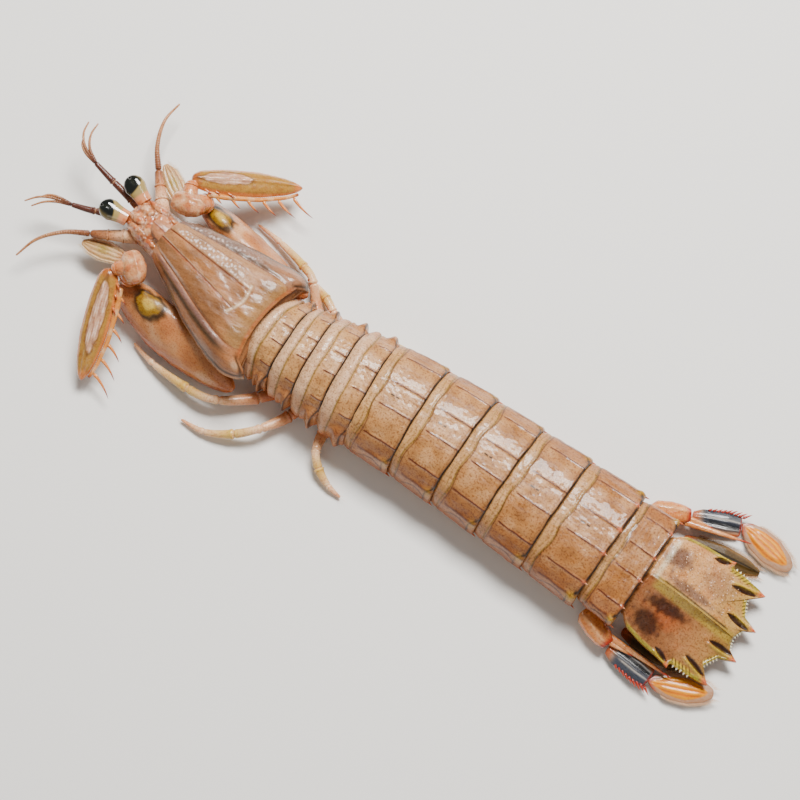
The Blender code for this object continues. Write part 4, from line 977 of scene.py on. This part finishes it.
def makeBlade(word, way, matrix):
    start, end = claw["bladeSpan"]
    first, last = claw["toothReach"]
    share = np.linspace(0.0, 1.0, 130)
    along = start + (end - start) * share
    out = eased(along / claw["handLength"], claw["handProfile"])
    out = out + claw["bladeOut"] + claw["bladeWidth"] / 2.0
    path = np.stack([along, out * way, 0.0 * along], -1)
    body = claw["bladeWidth"] / 2.0 * (1.0 - 0.5 * share) * capped(share, 0.02)
    deep = claw["bladeThickness"] / 2.0 * (1.0 - 0.3 * share) * capped(share, 0.02)
    upward = tuple(matrix.to_3x3() @ Vector((0, 0, 1)))
    rings = sweepRings(moved(path, matrix), body, deep, 24, top=upward)
    column = share[:, None]
    tint = painted(claw["spike"], (claw["pale"], 0.6 * stepUp(np.sin(column * 30.0), 0.0, 1.0)),
                   (claw["tip"], 0.8 * stepUp(column, 0.93, 1.0)))
    bm = bmesh.new()
    addGrid(bm, rings, tint)
    pitch = (end - start) / claw["teeth"]
    for tooth in range(claw["teeth"]):
        root = start + pitch * (tooth + claw["toothStart"])
        reach = first + (last - first) * tooth / (claw["teeth"] - 1)
        edge = edgeAt((root + 0.5) / claw["handLength"], claw["handProfile"]) + claw["bladeOut"]
        base = np.array((root + 0.6, (edge + claw["bladeWidth"] * 0.6) * way, 0.0))
        tip = np.array((root + 0.5 + reach * claw["toothSlant"],
                        (edge + claw["bladeWidth"] + reach) * way, 0.0))
        bow = np.array((reach * 0.16, -reach * 0.10 * way, 0.0))
        t = np.linspace(0.0, 1.0, 12)[:, None]
        curve = base * (1 - t) ** 2 + (base + (tip - base) * 0.5 - bow) * 2 * t * (1 - t) + tip * t * t
        thick = claw["toothRadius"] * (1.0 - t[:, 0]) ** 0.75
        thick[0] = 0.0
        rings = sweepRings(moved(curve, matrix), thick, thick * 0.8, 10)
        addGrid(bm, rings, painted(claw["spike"], (claw["rim"], 0.5 * stepUp(t, 0.0, 0.4)),
                                   (claw["tip"], stepUp(t, 0.5, 0.95))))
    finishPiece(bm, f"claw_blade_{word}", "hand", (f"claw_{word}_dactyl",))


for word, side in sides:
    makeArm(word, side)
    makeWrist(word, side)
    makeHand(word, side)
print("claws made")

limbs = {
    "reach": {"left": (1.0, 1.0, 0.8), "right": (0.78, 0.45, 0.3)},
    "rootSide": 10.0, "underBody": 15.0, "joints": (0.12, 0.36, 0.58, 0.8),
    "rootRadii": (1.5, 1.4, 1.0, 1.1, 0.8, 0.4), "radii": (1.4, 1.35, 0.95, 1.1, 0.75, 0.3),
    "walking": (
        ((44.8, 9.6, 3.0), (40.5, 14.6, 4.4), (35.6, 19.6, 4.6), (30.0, 21.4, 3.6), (21.0, 22.4, 2.0),
         (13.6, 22.0, 1.0)),
        ((51.5, 9.8, 2.8), (49.0, 14.6, 4.0), (45.4, 19.8, 4.0), (42.0, 23.4, 2.8), (37.6, 26.4, 1.5),
         (33.0, 27.4, 0.9)),
        ((59.0, 10.2, 2.8), (59.0, 14.8, 3.8), (60.0, 19.6, 3.6), (62.4, 23.0, 2.4), (66.0, 25.6, 1.4),
         (70.0, 26.8, 0.9))),
    "bristles": 26, "bristleStep": 0.25,
    "jawRadii": (1.2, 1.2, 1.3, 1.6, 1.0), "jawJoints": (0.27, 0.52, 0.78),
    "jaw": (((30.0, 4.9, 2.9), (24.0, 6.2, 2.5), (17.0, 6.6, 2.1), (12.0, 5.7, 1.85), (8.6, 5.0, 1.5)),
            ((34.4, 1.8, 2.9), (28.0, 1.9, 2.4), (20.0, 2.0, 2.1), (14.0, 2.0, 1.95), (5.0, 1.9, 1.5))),
    "pink": (226, 178, 140), "pale": (242, 214, 184), "yellow": (222, 194, 118), "red": (204, 134, 92),
}


def makeLegs():
    shades = [limbs[name] for name in ("red", "pink", "pale", "yellow", "pale", "pink")]
    for word, side in sides:
        for number, (points, reach) in enumerate(zip(limbs["walking"], limbs["reach"][word]), 1):
            drawn = []
            for (station, out, height), radius in zip(points, limbs["rootRadii"]):
                across = limbs["rootSide"] + (out - limbs["rootSide"]) * reach
                if across < limbs["underBody"]:
                    height = min(height, trunk["body"][1] - radius - 0.3)
                drawn.append((station, across * side, height))
            bm = bmesh.new()
            ringedTube(bm, drawn, limbs["radii"], limbs["joints"], shades, around=20, rows=200)
            tip, before = (bent(*drawn[step]) for step in (-1, -2))
            ahead = (tip - before) / np.linalg.norm(tip - before)
            for hair in range(limbs["bristles"]):
                root = tip - ahead * mm * (limbs["bristleStep"] * hair)
                off = np.array((math.cos(hair * 2.4), math.sin(hair * 2.4), 0.3)) * mm
                spine(bm, root, root + off + ahead * 0.9 * mm, 0.06, limbs["pink"], limbs["pale"],
                      around=3, rows=3)
            finishPiece(bm, f"walking_leg_{word}_{number}", "leg", (f"leg_{word}_{number}",))
        for number, points in enumerate(limbs["jaw"], 1):
            bm = bmesh.new()
            drawn = [(station, across * side, height) for station, across, height in points]
            ringedTube(bm, drawn, limbs["jawRadii"], limbs["jawJoints"], shades[1:3] * 2,
                       around=20, rows=150)
            finishPiece(bm, f"jaw_leg_{word}_{number}", "leg", (f"maxilliped_{word}_{number}",))


swimming = {
    "side": 5.9, "leafLength": 7.4, "tufts": 9,
    # inset, splay, height, roll of each leg's two leaves
    "leaves": ((1.7, 26.0, 1.75, -5.0), (-1.7, -20.0, 1.9, 5.0)), "leafPitch": 3.0,
    "leaf": ((0.0, 0.9, 0.3), (0.25, 2.2, 0.45), (0.55, 2.7, 0.45), (0.85, 1.9, 0.35), (1.0, 0.6, 0.2)),
    "stalk": ((-2.6, 3.9), (-1.6, 3.1), (-0.8, 2.3)), "stalkRadii": (2.1, 1.9, 1.1),
    "cream": (240, 210, 176), "rib": (214, 156, 114),
}


def makeSwimmingLegs():
    rib, cream, length = swimming["rib"], swimming["cream"], swimming["leafLength"]
    for number, front, rear, *_ in trunk["abdomen"][:5]:
        middle = (front + rear) / 2.0
        for word, side in sides:
            bm = bmesh.new()
            stalk = [(middle + aft, swimming["side"] * side, height) for aft, height in swimming["stalk"]]
            ringedTube(bm, stalk, swimming["stalkRadii"], (0.5,), (rib, cream),
                       around=22, rows=40, cap=0.1)
            for inset, splay, height, roll in swimming["leaves"]:
                leaf = placed(middle - 2.4, (swimming["side"] + inset) * side, height, splay * side * 0.5,
                              swimming["leafPitch"], roll * side)
                place, share, cosine = limbGrid(swimming["leaf"], length, 40, 40)
                wave = np.sin(share * 30.0 + np.abs(cosine) * 4.0)
                place[..., 2] += 0.16 * wave * capped(share, 0.3)
                addGrid(bm, moved(place, leaf), painted(cream, (rib, 0.5 * stepUp(wave, 0.0, 1.0))))
                leafFringe(bm, swimming["leaf"], length, leaf, 34, 0.9, rib, cream, low=0.3)
            for tuft in range(swimming["tufts"]):        # gill filaments at the leaf's root
                root = bent(middle - 2.0, (swimming["side"] - 1.0 + 0.2 * tuft) * side, 2.6)
                tip = bent(middle + 1.5 + math.cos(tuft * 0.7),
                           (swimming["side"] - 2.4 + 0.62 * tuft) * side,
                           2.6 + 0.5 * math.sin(tuft * 1.4))
                spine(bm, root, tip, 0.28, rib, cream, around=7, rows=8, sag=0.4)
            finishPiece(bm, f"swimming_leg_{word}_{number}", "leg", (f"pleopod_{word}_{number}",))


makeLegs()
makeSwimmingLegs()
print("legs made")

tail = {
    "front": 140.2, "frontHeight": 11.2, "rearHeight": 5.2, "droop": 1.9, "rearFlatness": 0.55,
    "ridge": 1.4, "ridgeShare": 0.16, "length": 23.2, "thickness": 1.4, "columns": 129, "rows": 210,
    # step along the margin, aft of the front, side: the right half
    "margin": ((0.0, 0.0, 10.6), (0.5, 1.1, 11.6), (1.0, 2.2, 12.4), (1.5, 4.8, 13.0), (2.0, 7.0, 13.4),
               (2.5, 9.4, 13.65), (3.0, 11.5, 13.8), (3.6, 13.3, 14.05), (4.0, 14.6, 14.5),
               (4.5, 14.55, 13.6), (5.0, 14.9, 13.05), (5.5, 16.1, 13.1), (6.0, 17.5, 13.0),
               (6.5, 18.7, 12.95), (7.0, 20.2, 12.85), (7.6, 22.4, 12.6), (8.0, 24.2, 12.2),
               (8.5, 22.2, 11.2), (9.0, 20.9, 10.3), (10.0, 21.2, 8.8), (11.0, 22.0, 7.2),
               (12.0, 22.9, 5.6), (12.6, 24.9, 4.9), (13.0, 26.8, 4.1), (13.5, 25.2, 3.4),
               (14.0, 24.3, 2.9), (15.0, 23.6, 1.6), (16.0, 23.2, 0.0)),
    "tuck": ((-2.0, 0.86, 1.1), (-1.2, 0.93, 0.7), (-0.5, 0.98, 0.25)),   # mm on, share of width, mm down
    # each tooth's tip aft and side, its keel's length and the side where the keel starts
    "teeth": ((14.6, 14.5, 5.0, 13.0), (24.2, 12.2, 8.5, 10.2), (26.8, 4.1, 8.5, 4.6)),
    # aft, side, half length, half width, turn, colour, amount
    "blotches": ((8.4, -6.0, 4.0, 2.6, 0.0, "orange", 0.5), (16.5, -6.6, 5.4, 5.0, 0.0, "tan", 0.5),
                 (7.4, -3.8, 5.2, 1.7, 0.08, "dark", 0.8), (5.2, -8.9, 3.6, 2.7, -0.3, "dark", 0.75),
                 (3.4, 7.0, 3.6, 2.6, 0.4, "mauve", 0.75), (9.4, 2.3, 6.4, 1.3, 0.04, "grey", 0.75),
                 (14.0, 7.8, 4.4, 3.4, 0.0, "grey", 0.35), (2.2, 0.5, 1.5, 0.3, 0.0, "line", 0.95)),
    "beadRows": 8, "beadsAcross": 13, "beadRadius": 0.17, "beadSide": 13.2,
    # stretches of the margin that carry denticles, and their pitch in mm
    "denticles": ((5.1, 6.9, 0.9), (9.05, 11.95, 0.76), (14.05, 15.9, 0.66)),
    "brown": (170, 128, 92), "orange": (190, 112, 60), "dark": (74, 44, 32), "pink": (232, 190, 142),
    "olive": (188, 166, 92), "grey": (138, 114, 106), "mauve": (128, 102, 98), "green": (180, 172, 66),
    "yellow": (218, 196, 88), "cream": (246, 242, 222), "tip": (230, 138, 104), "line": (62, 42, 24),
    "bead": (246, 216, 194), "under": (206, 156, 112), "tan": (206, 162, 120), "gap": (84, 84, 26),
}


def telsonHeight(aft, share):
    away = np.clip(aft / tail["length"], 0.0, 1.0)
    fall = (tail["frontHeight"] - tail["rearHeight"]) * away
    droop = tail["droop"] * share * share * (1.0 - tail["rearFlatness"] * away)
    ridge = tail["ridge"] * np.clip(1.0 - np.abs(share) / tail["ridgeShare"], 0.0, 1.0) ** 1.3
    return tail["frontHeight"] - fall - droop + ridge * np.sin(math.pi * away) ** 0.7


def blotch(along, across, aft, out, longSize, wideSize, turn):   # 1 inside a ragged oval
    u, v = along - aft, across - out
    cosine, sine = math.cos(turn), math.sin(turn)
    ragged = 1.0 + 0.22 * ripple(along, across, 2.6, 7)
    near = np.hypot((u * cosine + v * sine) / longSize, (v * cosine - u * sine) / wideSize) * ragged
    return stepUp(1.35 - near, 0.0, 0.85)


def denticleLine(low, high, pitch):   # points of the margin, their run in mm, count of denticles
    marginStep, *marginPlace = np.array(tail["margin"]).T
    steps = np.linspace(low, high, 120)
    line = np.stack([np.interp(steps, marginStep, column) for column in marginPlace], -1)
    run = np.concatenate([[0.0], np.cumsum(np.hypot(*np.diff(line, axis=0).T))])
    return line, run, max(2, int(run[-1] / pitch))


def makeTelson():
    marginStep, marginAft, marginSide = np.array(tail["margin"]).T
    steps = np.concatenate([np.linspace(0.0, marginStep[-1], tail["rows"]), marginStep])
    steps = np.unique(steps)[:, None]
    aftEdge = np.interp(steps, marginStep, marginAft)
    sideEdge = np.interp(steps, marginStep, marginSide)
    middle = tail["length"] * steps / marginStep[-1]
    tuck = np.zeros_like(steps)
    for aft, wide, down in reversed(tail["tuck"]):    # the front runs on under the last plate
        aftEdge = np.vstack([[[aft]], aftEdge])
        sideEdge = np.vstack([[[marginSide[0] * wide]], sideEdge])
        middle = np.vstack([[[aft]], middle])
        tuck = np.vstack([[[down]], tuck])
    share = signedPower(np.sin(np.linspace(-0.5, 0.5, tail["columns"]) * math.pi), 1.15)
    size = np.abs(share) + 0.0 * middle
    along = middle + (aftEdge - middle) * size
    across = sideEdge * share

    keel, hollow, point = 0.0, 0.0, 0.0
    for aft, out, run, rootSide in tail["teeth"]:
        t = (along - (aft - run)) / run
        beside = np.abs(across) - (rootSide + (out - rootSide) * np.clip(t, 0.0, 1.0))
        keel = keel + streak(beside, 0.42) * stepUp(t, 0.0, 0.2)
        lens = 0.68 * np.sin(np.clip((t - 0.08) / 0.74, 0.0, 1.0) * math.pi) ** 0.7 + 1e-6
        hollow = hollow + stepUp(1.15 - np.abs(beside + 0.85) / lens, 0.0, 0.3) * (lens > 0.05)
        point = point + streak(beside, 0.9) * stepUp(t, 0.68, 0.9)
    relief = (0.4 * keel * (1.0 - 0.6 * stepUp(size, 0.9, 1.0)) - 0.3 * hollow
              + 0.06 * ripple(along, across, 3.4, 4) + 0.03 * ripple(along, across, 1.5, 2)
              + 0.16 * streak(size - 0.965, 0.02))
    height = telsonHeight(along, share) + relief - tuck
    rowStep = np.concatenate([np.zeros(len(tail["tuck"])), steps[:, 0]])[:, None]
    bars, gaps = 0.0, 0.0      # yellow and dark bars along the toothed margin
    for low, high, pitch in tail["denticles"]:
        _, run, number = denticleLine(low, high, pitch)
        phase = np.interp(rowStep, np.linspace(low, high, len(run)), run / run[-1])
        wave = np.abs(np.sin(math.pi * number * phase))
        inMargin = (rowStep > low) * (rowStep < high) * stepUp(size, 0.89, 0.92)
        bars = bars + inMargin * stepUp(wave, 0.55, 0.85)
        gaps = gaps + inMargin * (1.0 - stepUp(wave, 0.3, 0.6)) * (1.0 - stepUp(size, 0.975, 0.99))
    rightHalf = stepUp(across, -0.2, 0.4)
    behind = stepUp(along, 1.0, 3.0)
    coats = [(tail["pink"], 0.85 * rightHalf), (tail["olive"], 0.5 * stepUp(along, 12.0, 21.0)),
             (tail["orange"], 0.2 * stepUp(ripple(along, across, 6.0, 6), 0.0, 0.9))]
    for *shape, colour, amount in tail["blotches"]:
        coats.append((tail[colour], amount * blotch(along, across, *shape)))
    coats += [
        (tail["olive"], 0.85 * (1.0 - stepUp(np.abs(across + 0.5), 0.9, 1.9)) * behind),
        (tail["line"], 0.85 * streak(across - 0.75, 0.24) * span(along, 3.0, 4.0, 20.0, 21.5)),
        (tail["green"], 0.85 * stepUp(size, 0.92, 0.97) * behind), (tail["yellow"], 0.85 * bars),
        (tail["gap"], 0.8 * gaps), (tail["dark"], 0.95 * hollow),
        (tail["yellow"], 0.75 * keel * stepUp(size, 0.5, 0.75)),
        (tail["tip"], 0.95 * point * stepUp(size, 0.8, 0.95)),
        # painted highlight: a cream glint band along the front of the right half
        (tail["cream"], 0.5 * streak(along - 1.4, 0.7) * stepUp(0.95 - size, 0.0, 0.1) * rightHalf)]
    bm = bmesh.new()
    addGrid(bm, bent(tail["front"] + along, across, height), painted(tail["brown"], *coats))
    layer = bm.verts.layers.float_color["tint"]
    rims = {vert for edge in bm.edges if edge.is_boundary for vert in edge.verts}
    sheet =bmesh.ops.extrude_face_region(bm, geom=bm.faces[:], use_keep_orig=True)
    for vert in (item for item in sheet["geom"] if isinstance(item, bmesh.types.BMVert)):
        vert.co.z -= tail["thickness"] * mm
        vert[layer] = (*(srgb(*tail["under"]) ** toneDepth), 1.0)
    for vert in rims:        # a thin bevelled margin
        vert.co.z -= 0.25 * mm

    beadTurn = np.linspace(0.0, 2.0 * math.pi, 9)
    beadRings = np.array((1.0, 0.72, 0.0))[:, None]
    beadLift = np.array((0.0, 0.08, 0.11))[:, None]
    for row in range(tail["beadRows"]):         # pale granules in arching rows over the right half
        for dot in range(tail["beadsAcross"]):
            out = 2.4 + dot * 0.78 + 0.2 * math.sin(row * 2.1 + dot * 1.3)
            aft = 5.0 + row * 1.9 + 0.3 * math.sin(dot * 2.3 + row) - 0.02 * (out - 6.0) ** 2
            reach = beadRings * tail["beadRadius"] * (0.8 + 0.3 * math.sin(dot + row * 3.7))
            around = aft + reach * np.cos(beadTurn)
            sideways = out + reach * np.sin(beadTurn)
            beside = out / tail["beadSide"]
            raised = telsonHeight(around, beside) + beadLift + 0.02
            if beside < 0.85:
                addGrid(bm, bent(tail["front"] + around, sideways, raised), srgb(*tail["bead"]))
    for low, high, pitch in tail["denticles"]:
        line, run, number = denticleLine(low, high, pitch)
        for step in range(number):
            where = (step + 0.5) * run[-1] / number
            here, beyond = (np.array([np.interp(spot, run, line[:, axis]) for axis in (0, 1)])
                            for spot in (where, where + 0.2))
            ahead = (beyond - here) / (np.linalg.norm(beyond - here) + 1e-9)
            normal = np.array((-ahead[1], ahead[0]))
            if normal[0 if low > 8.0 else 1] < 0.0:
                normal = -normal
            level = float(telsonHeight(here[0], 1.0)) - 0.3
            root, tip = here - normal * 0.35, here + normal * 0.62
            for mark in (-1.0, 1.0):
                spine(bm, bent(tail["front"] + root[0], root[1] * mark, level),
                      bent(tail["front"] + tip[0], tip[1] * mark, level - 0.1),
                      0.44, tail["cream"], tail["cream"], around=7, rows=6)
    finishPiece(bm, "tail_shield", "telson", ("telson",))


makeTelson()
print("telson made")

fan = {
    # station, side, and the splays of the stout joint, base, blade and inner leaf
    "root": {"left": (132.4, 14.0, 20.0, 3.0, -24.0, -4.0),
             "right": (132.0, 14.0, 27.0, 24.0, -10.0, 10.0)},
    "stout": ((0.0, 1.2, 1.0), (0.15, 2.5, 1.9), (0.5, 2.7, 2.1), (0.8, 2.3, 1.7), (1.0, 1.5, 1.1)),
    "stoutLength": 9.6, "stoutHeight": 3.5,
    # scale, aside and reach of each prong; where both start; their offset inward and down
    "prongs": ((1.0, 0.0, 2.5), (0.8, 1.25, 1.55)), "prongStart": 0.86, "prongOffset": (1.9, 0.1),
    "base": ((0.0, 1.5, 0.7), (0.2, 2.5, 0.9), (0.7, 2.9, 0.9), (1.0, 2.3, 0.6)), "baseLength": 11.6,
    "baseSpines": 9, "bladeGap": 1.2, "bladeRoot": 1.4,
    "blade": ((0.0, 1.7, 0.4), (0.25, 3.0, 0.45), (0.55, 3.3, 0.45), (0.85, 2.3, 0.35), (1.0, 0.9, 0.2)),
    "bladeLength": 13.6,
    "leaf": ((0.0, 1.0, 0.4), (0.2, 2.2, 0.5), (0.5, 2.7, 0.5), (0.8, 2.1, 0.4), (1.0, 0.7, 0.2)),
    "leafLength": 19.0, "leafIn": 5.0, "leafBack": 1.0, "exopodHeight": 1.7, "endopodHeight": 0.7,
    "tan": (226, 166, 108), "tanPale": (242, 206, 168), "deep": (200, 112, 56), "red": (184, 60, 32),
    "blue": (84, 92, 106), "black": (22, 20, 22), "white": (226, 220, 212), "grey": (192, 162, 138),
    "greyPink": (206, 160, 130), "orange": (234, 170, 12), "orangeDark": (210, 128, 6),
    "orangeLit": (246, 198, 50), "olive": (118, 98, 60), "leafEdge": (184, 152, 112),
    "leafLine": (44, 36, 28), "spike": (176, 66, 48), "spikeTip": (226, 132, 108),
    "hair": (212, 174, 140), "hairTip": (238, 216, 190),
}


def makeFan(word, side):
    station, across, stoutSplay, baseSplay, bladeSplay, leafSplay = fan["root"][word]
    root = placed(station, across * side, fan["stoutHeight"], stoutSplay * side)
    length = fan["stoutLength"]
    place, share, cosine = limbGrid(fan["stout"], length, 60, 56)
    outer = cosine * side
    place[..., 2] += 0.3 * streak(outer - 0.3, 0.14) * (place[..., 2] > 0) * capped(share, 0.2)
    place[..., 2] += 0.06 * ripple(place[..., 0], place[..., 1], 2.1, 3)
    tint = painted(fan["tan"], (fan["tanPale"], 0.6 * streak(outer - 0.3, 0.25)),
                   (fan["deep"], 0.6 * stepUp(-outer, 0.4, 0.9)),
                   (fan["red"], 0.9 * stepUp(share, 0.84, 0.97)))
    bm = bmesh.new()
    addGrid(bm, moved(place, root), tint)
    slant = math.tan(math.radians(stoutSplay - (baseSplay + leafSplay) / 2.0))
    inward, down = fan["prongOffset"]
    t = np.linspace(0.0, 1.0, 90)
    for scale, aside, farthest in fan["prongs"]:
        reach = fan["prongStart"] + (farthest - fan["prongStart"]) * t
        sideways = -side * (inward + (reach - 1.0) * length * slant) + side * aside * (1.0 - 0.4 * t)
        path = np.stack([reach * length, sideways, -down - 0.25 * t], -1)
        taper = scale * capped(t, 0.02) ** 0.5
        wide, deep = 0.85 * taper * (1.0 - t) ** 0.6, 0.6 * taper * (1.0 - t) ** 0.5
        wide[0] = deep[0] = 0.0
        tone = painted(fan["tan"], (fan["tanPale"], 0.5 * streak(t - 0.45, 0.2)[:, None]),
                       (fan["red"], stepUp(t, 0.72, 0.95)[:, None]))
        addGrid(bm, sweepRings(moved(path, root), wide, deep, 18), tone)
    finishPiece(bm, f"fan_joint_{word}", "flesh", (f"uropod_{word}_protopod",))

    def hung(along, inset, height, splay):
        offset = Vector((along, -inset * side, height - fan["stoutHeight"])) * mm
        turn = math.radians((splay - stoutSplay) * side)
        return root @ Matrix.Translation(offset) @ Matrix.Rotation(turn, 4, "Z")

    # dark blue-grey base of the outer leaf, with a row of movable spines on its outer edge
    base = hung(length + 0.3, 0.0, fan["exopodHeight"], baseSplay)
    place, share, cosine = limbGrid(fan["base"], fan["baseLength"], 70, 64)
    outer = cosine * side
    ridges = 0.28 * (streak(outer - 0.15, 0.12) + streak(outer + 0.5, 0.1)) * (place[..., 2] > 0)
    place[..., 2] += ridges * capped(share, 0.15)
    streakOn = span(share, 0.22, 0.4, 0.93, 0.99)
    tint = painted(
        fan["grey"], (fan["blue"], 0.95 * stepUp(outer, -0.75, -0.5) * stepUp(share, 0.10, 0.28)),
        (fan["white"], 0.75 * streak(outer - 0.30, 0.07) * stepUp(share, 0.2, 0.4)),
        (fan["white"], 0.6 * streak(outer + 0.45, 0.07) * stepUp(share, 0.2, 0.4)),
        (fan["black"], 0.95 * streak(outer + 0.08 + 0.2 * share, 0.2) * streakOn),
        (fan["deep"], 0.8 * stepUp(-outer, 0.72, 0.92)),
        (fan["deep"], 0.7 * (1.0 - stepUp(share, 0.06, 0.2))),
        (fan["red"], 0.8 * stepUp(share, 0.94, 0.99)))
    bm = bmesh.new()
    addGrid(bm, moved(place, base), tint)
    for step in range(fan["baseSpines"]):
        spot = 0.30 + 0.68 * step / (fan["baseSpines"] - 1)
        wide = edgeAt(spot, fan["base"])
        reach = 1.0 + 1.3 * step / (fan["baseSpines"] - 1)
        ends = moved(((spot * fan["baseLength"], side * wide * 0.84, 0.35),
                      (spot * fan["baseLength"] + reach, side * (wide + 0.4 * reach), 0.4)), base)
        spine(bm, *ends, 0.42, fan["spike"], fan["spikeTip"], around=8, rows=7)
    finishPiece(bm, f"fan_base_{word}", "fan_grey", (f"uropod_{word}_exopod_base",))

    # orange oval at the outer leaf's end, in a clear fringed margin
    beyond = Matrix.Translation(((fan["baseLength"] + fan["bladeGap"]) * mm, 0.0, 0.0))
    blade = base @ beyond @ Matrix.Rotation(math.radians((bladeSplay - baseSplay) * side), 4, "Z")
    place, share, cosine = limbGrid(fan["blade"], fan["bladeLength"], 80, 80)
    place[..., 0] -= fan["bladeRoot"] * (1.0 - share) ** 3 * (1.0 - cosine ** 2)
    ribs = np.sin(cosine * 16.0)
    core = np.hypot((share - 0.47) / 0.42, (cosine - 0.05 * side) / 0.74)
    raised = 0.07 * ribs * stepUp(1.1 - core, 0.0, 0.3) + 0.35 * stepUp(1.0 - core, 0.0, 0.35)
    place[..., 2] += raised * np.sign(place[..., 2]) * capped(share, 0.2)
    inside = stepUp(1.0 - core, 0.0, 0.1)
    tint = painted(fan["grey"], (fan["greyPink"], 0.5 * stepUp(np.abs(cosine), 0.85, 1.0)),
                   (fan["red"], 0.6 * (1.0 - stepUp(share, 0.03, 0.12))),
                   (fan["orange"], stepUp(1.06 - core, 0.0, 0.12)),
                   # painted shade between the ribs and painted highlight on their crests
                   (fan["orangeDark"], 0.7 * streak(ribs + 1.0, 0.4) * inside),
                   (fan["orangeLit"], 0.5 * streak(ribs - 1.0, 0.4) * inside))
    bm = bmesh.new()
    addGrid(bm, moved(place, blade), tint)
    leafFringe(bm, fan["blade"], fan["bladeLength"], blade, 120, 2.0, fan["hair"], fan["hairTip"],
               low=0.12)
    finishPiece(bm, f"fan_blade_{word}", "fan_orange", (f"uropod_{word}_exopod_blade",))

    # olive-grey inner leaf with a dark midrib
    inner = hung(length - fan["leafBack"], fan["leafIn"], fan["endopodHeight"], leafSplay)
    place, share, cosine = limbGrid(fan["leaf"], fan["leafLength"], 80, 64)
    place[..., 2] += 0.3 * streak(cosine, 0.16) * (place[..., 2] > 0) * capped(share, 0.15)
    tint = painted(fan["olive"], (fan["leafEdge"], 0.5 * stepUp(np.abs(cosine), 0.6, 0.9)),
                   (fan["leafLine"], 0.9 * streak(cosine - 0.14 * side, 0.12) * stepUp(share, 0.1, 0.3)),
                   (fan["deep"], 0.7 * (1.0 - stepUp(share, 0.05, 0.2))))
    bm = bmesh.new()
    addGrid(bm, moved(place, inner), tint)
    leafFringe(bm, fan["leaf"], fan["leafLength"], inner, 130, 2.1, fan["hair"], fan["hairTip"],
               low=0.15)
    finishPiece(bm, f"fan_leaf_{word}", "fan_leaf", (f"uropod_{word}_endopod",))


for word, side in sides:
    makeFan(word, side)
print("tail fans made")

studio = {
    "floorSize": 1.6, "floorColour": (236, 234, 230), "floorRoughness": 0.7,
    "azimuth": 32.8, "elevation": 75.0, "distance": 0.44, "aim": (0.0026, 0.0010, 0.008),
    "lens": 86.0, "sensorWidth": 36.0, "clipStart": 0.01,
    "worldColour": (1.0, 0.98, 0.95), "worldStrength": 0.26,
    # name, azimuth, elevation, distance, size, power, colour
    "lights": (("softTop", 190.0, 60.0, 0.75, (0.36, 0.24), 13.0, (1.0, 0.985, 0.96)),
               ("sideFill", 20.0, 35.0, 0.9, (0.6, 0.5), 1.2, (1.0, 0.94, 0.86))),
}


def makeStage():
    bm = bmesh.new()
    bmesh.ops.create_grid(bm, x_segments=1, y_segments=1, size=studio["floorSize"] / 2.0)
    mesh = bpy.data.meshes.new("studio_floor")
    bm.to_mesh(mesh)
    bm.free()
    paint = bpy.data.materials.new("floorPaint")
    paint.use_nodes = True
    shader = paint.node_tree.nodes["Principled BSDF"]
    shader.inputs["Base Color"].default_value = (*srgb(*studio["floorColour"]), 1.0)
    shader.inputs["Roughness"].default_value = studio["floorRoughness"]
    mesh.materials.append(paint)
    floor = bpy.data.objects.new("studio_floor", mesh)
    bpy.context.scene.collection.objects.link(floor)
    world = bpy.data.worlds.new("studioWorld")
    world.use_nodes = True
    backdrop = world.node_tree.nodes["Background"]
    backdrop.inputs["Color"].default_value = (*studio["worldColour"], 1.0)
    backdrop.inputs["Strength"].default_value = studio["worldStrength"]
    bpy.context.scene.world = world


def aimed(name, data, azimuth, elevation, distance, target=(0.0, 0.0, 0.0)):   # looks at the target
    turn, rise = math.radians(azimuth), math.radians(elevation)
    away = Vector((math.sin(turn) * math.cos(rise), -math.cos(turn) * math.cos(rise), math.sin(rise)))
    thing = bpy.data.objects.new(name, data)
    thing.location = Vector(target) + away * distance
    thing.rotation_euler = away.to_track_quat("Z", "Y").to_euler()
    bpy.context.scene.collection.objects.link(thing)
    return thing


def makeLightsAndCamera():
    for name, azimuth, elevation, distance, size, power, colour in studio["lights"]:
        lamp = bpy.data.lights.new(name, "AREA")
        lamp.shape = "RECTANGLE"
        lamp.size, lamp.size_y = size
        lamp.energy = power
        lamp.color = colour
        aimed(name, lamp, azimuth, elevation, distance)
    lens = bpy.data.cameras.new("camera")
    lens.lens = studio["lens"]
    lens.sensor_width = studio["sensorWidth"]
    lens.clip_start = studio["clipStart"]
    bpy.context.scene.camera = aimed("camera", lens, studio["azimuth"], studio["elevation"],
                                     studio["distance"], studio["aim"])


makeStage()
makeLightsAndCamera()
print("stage made")
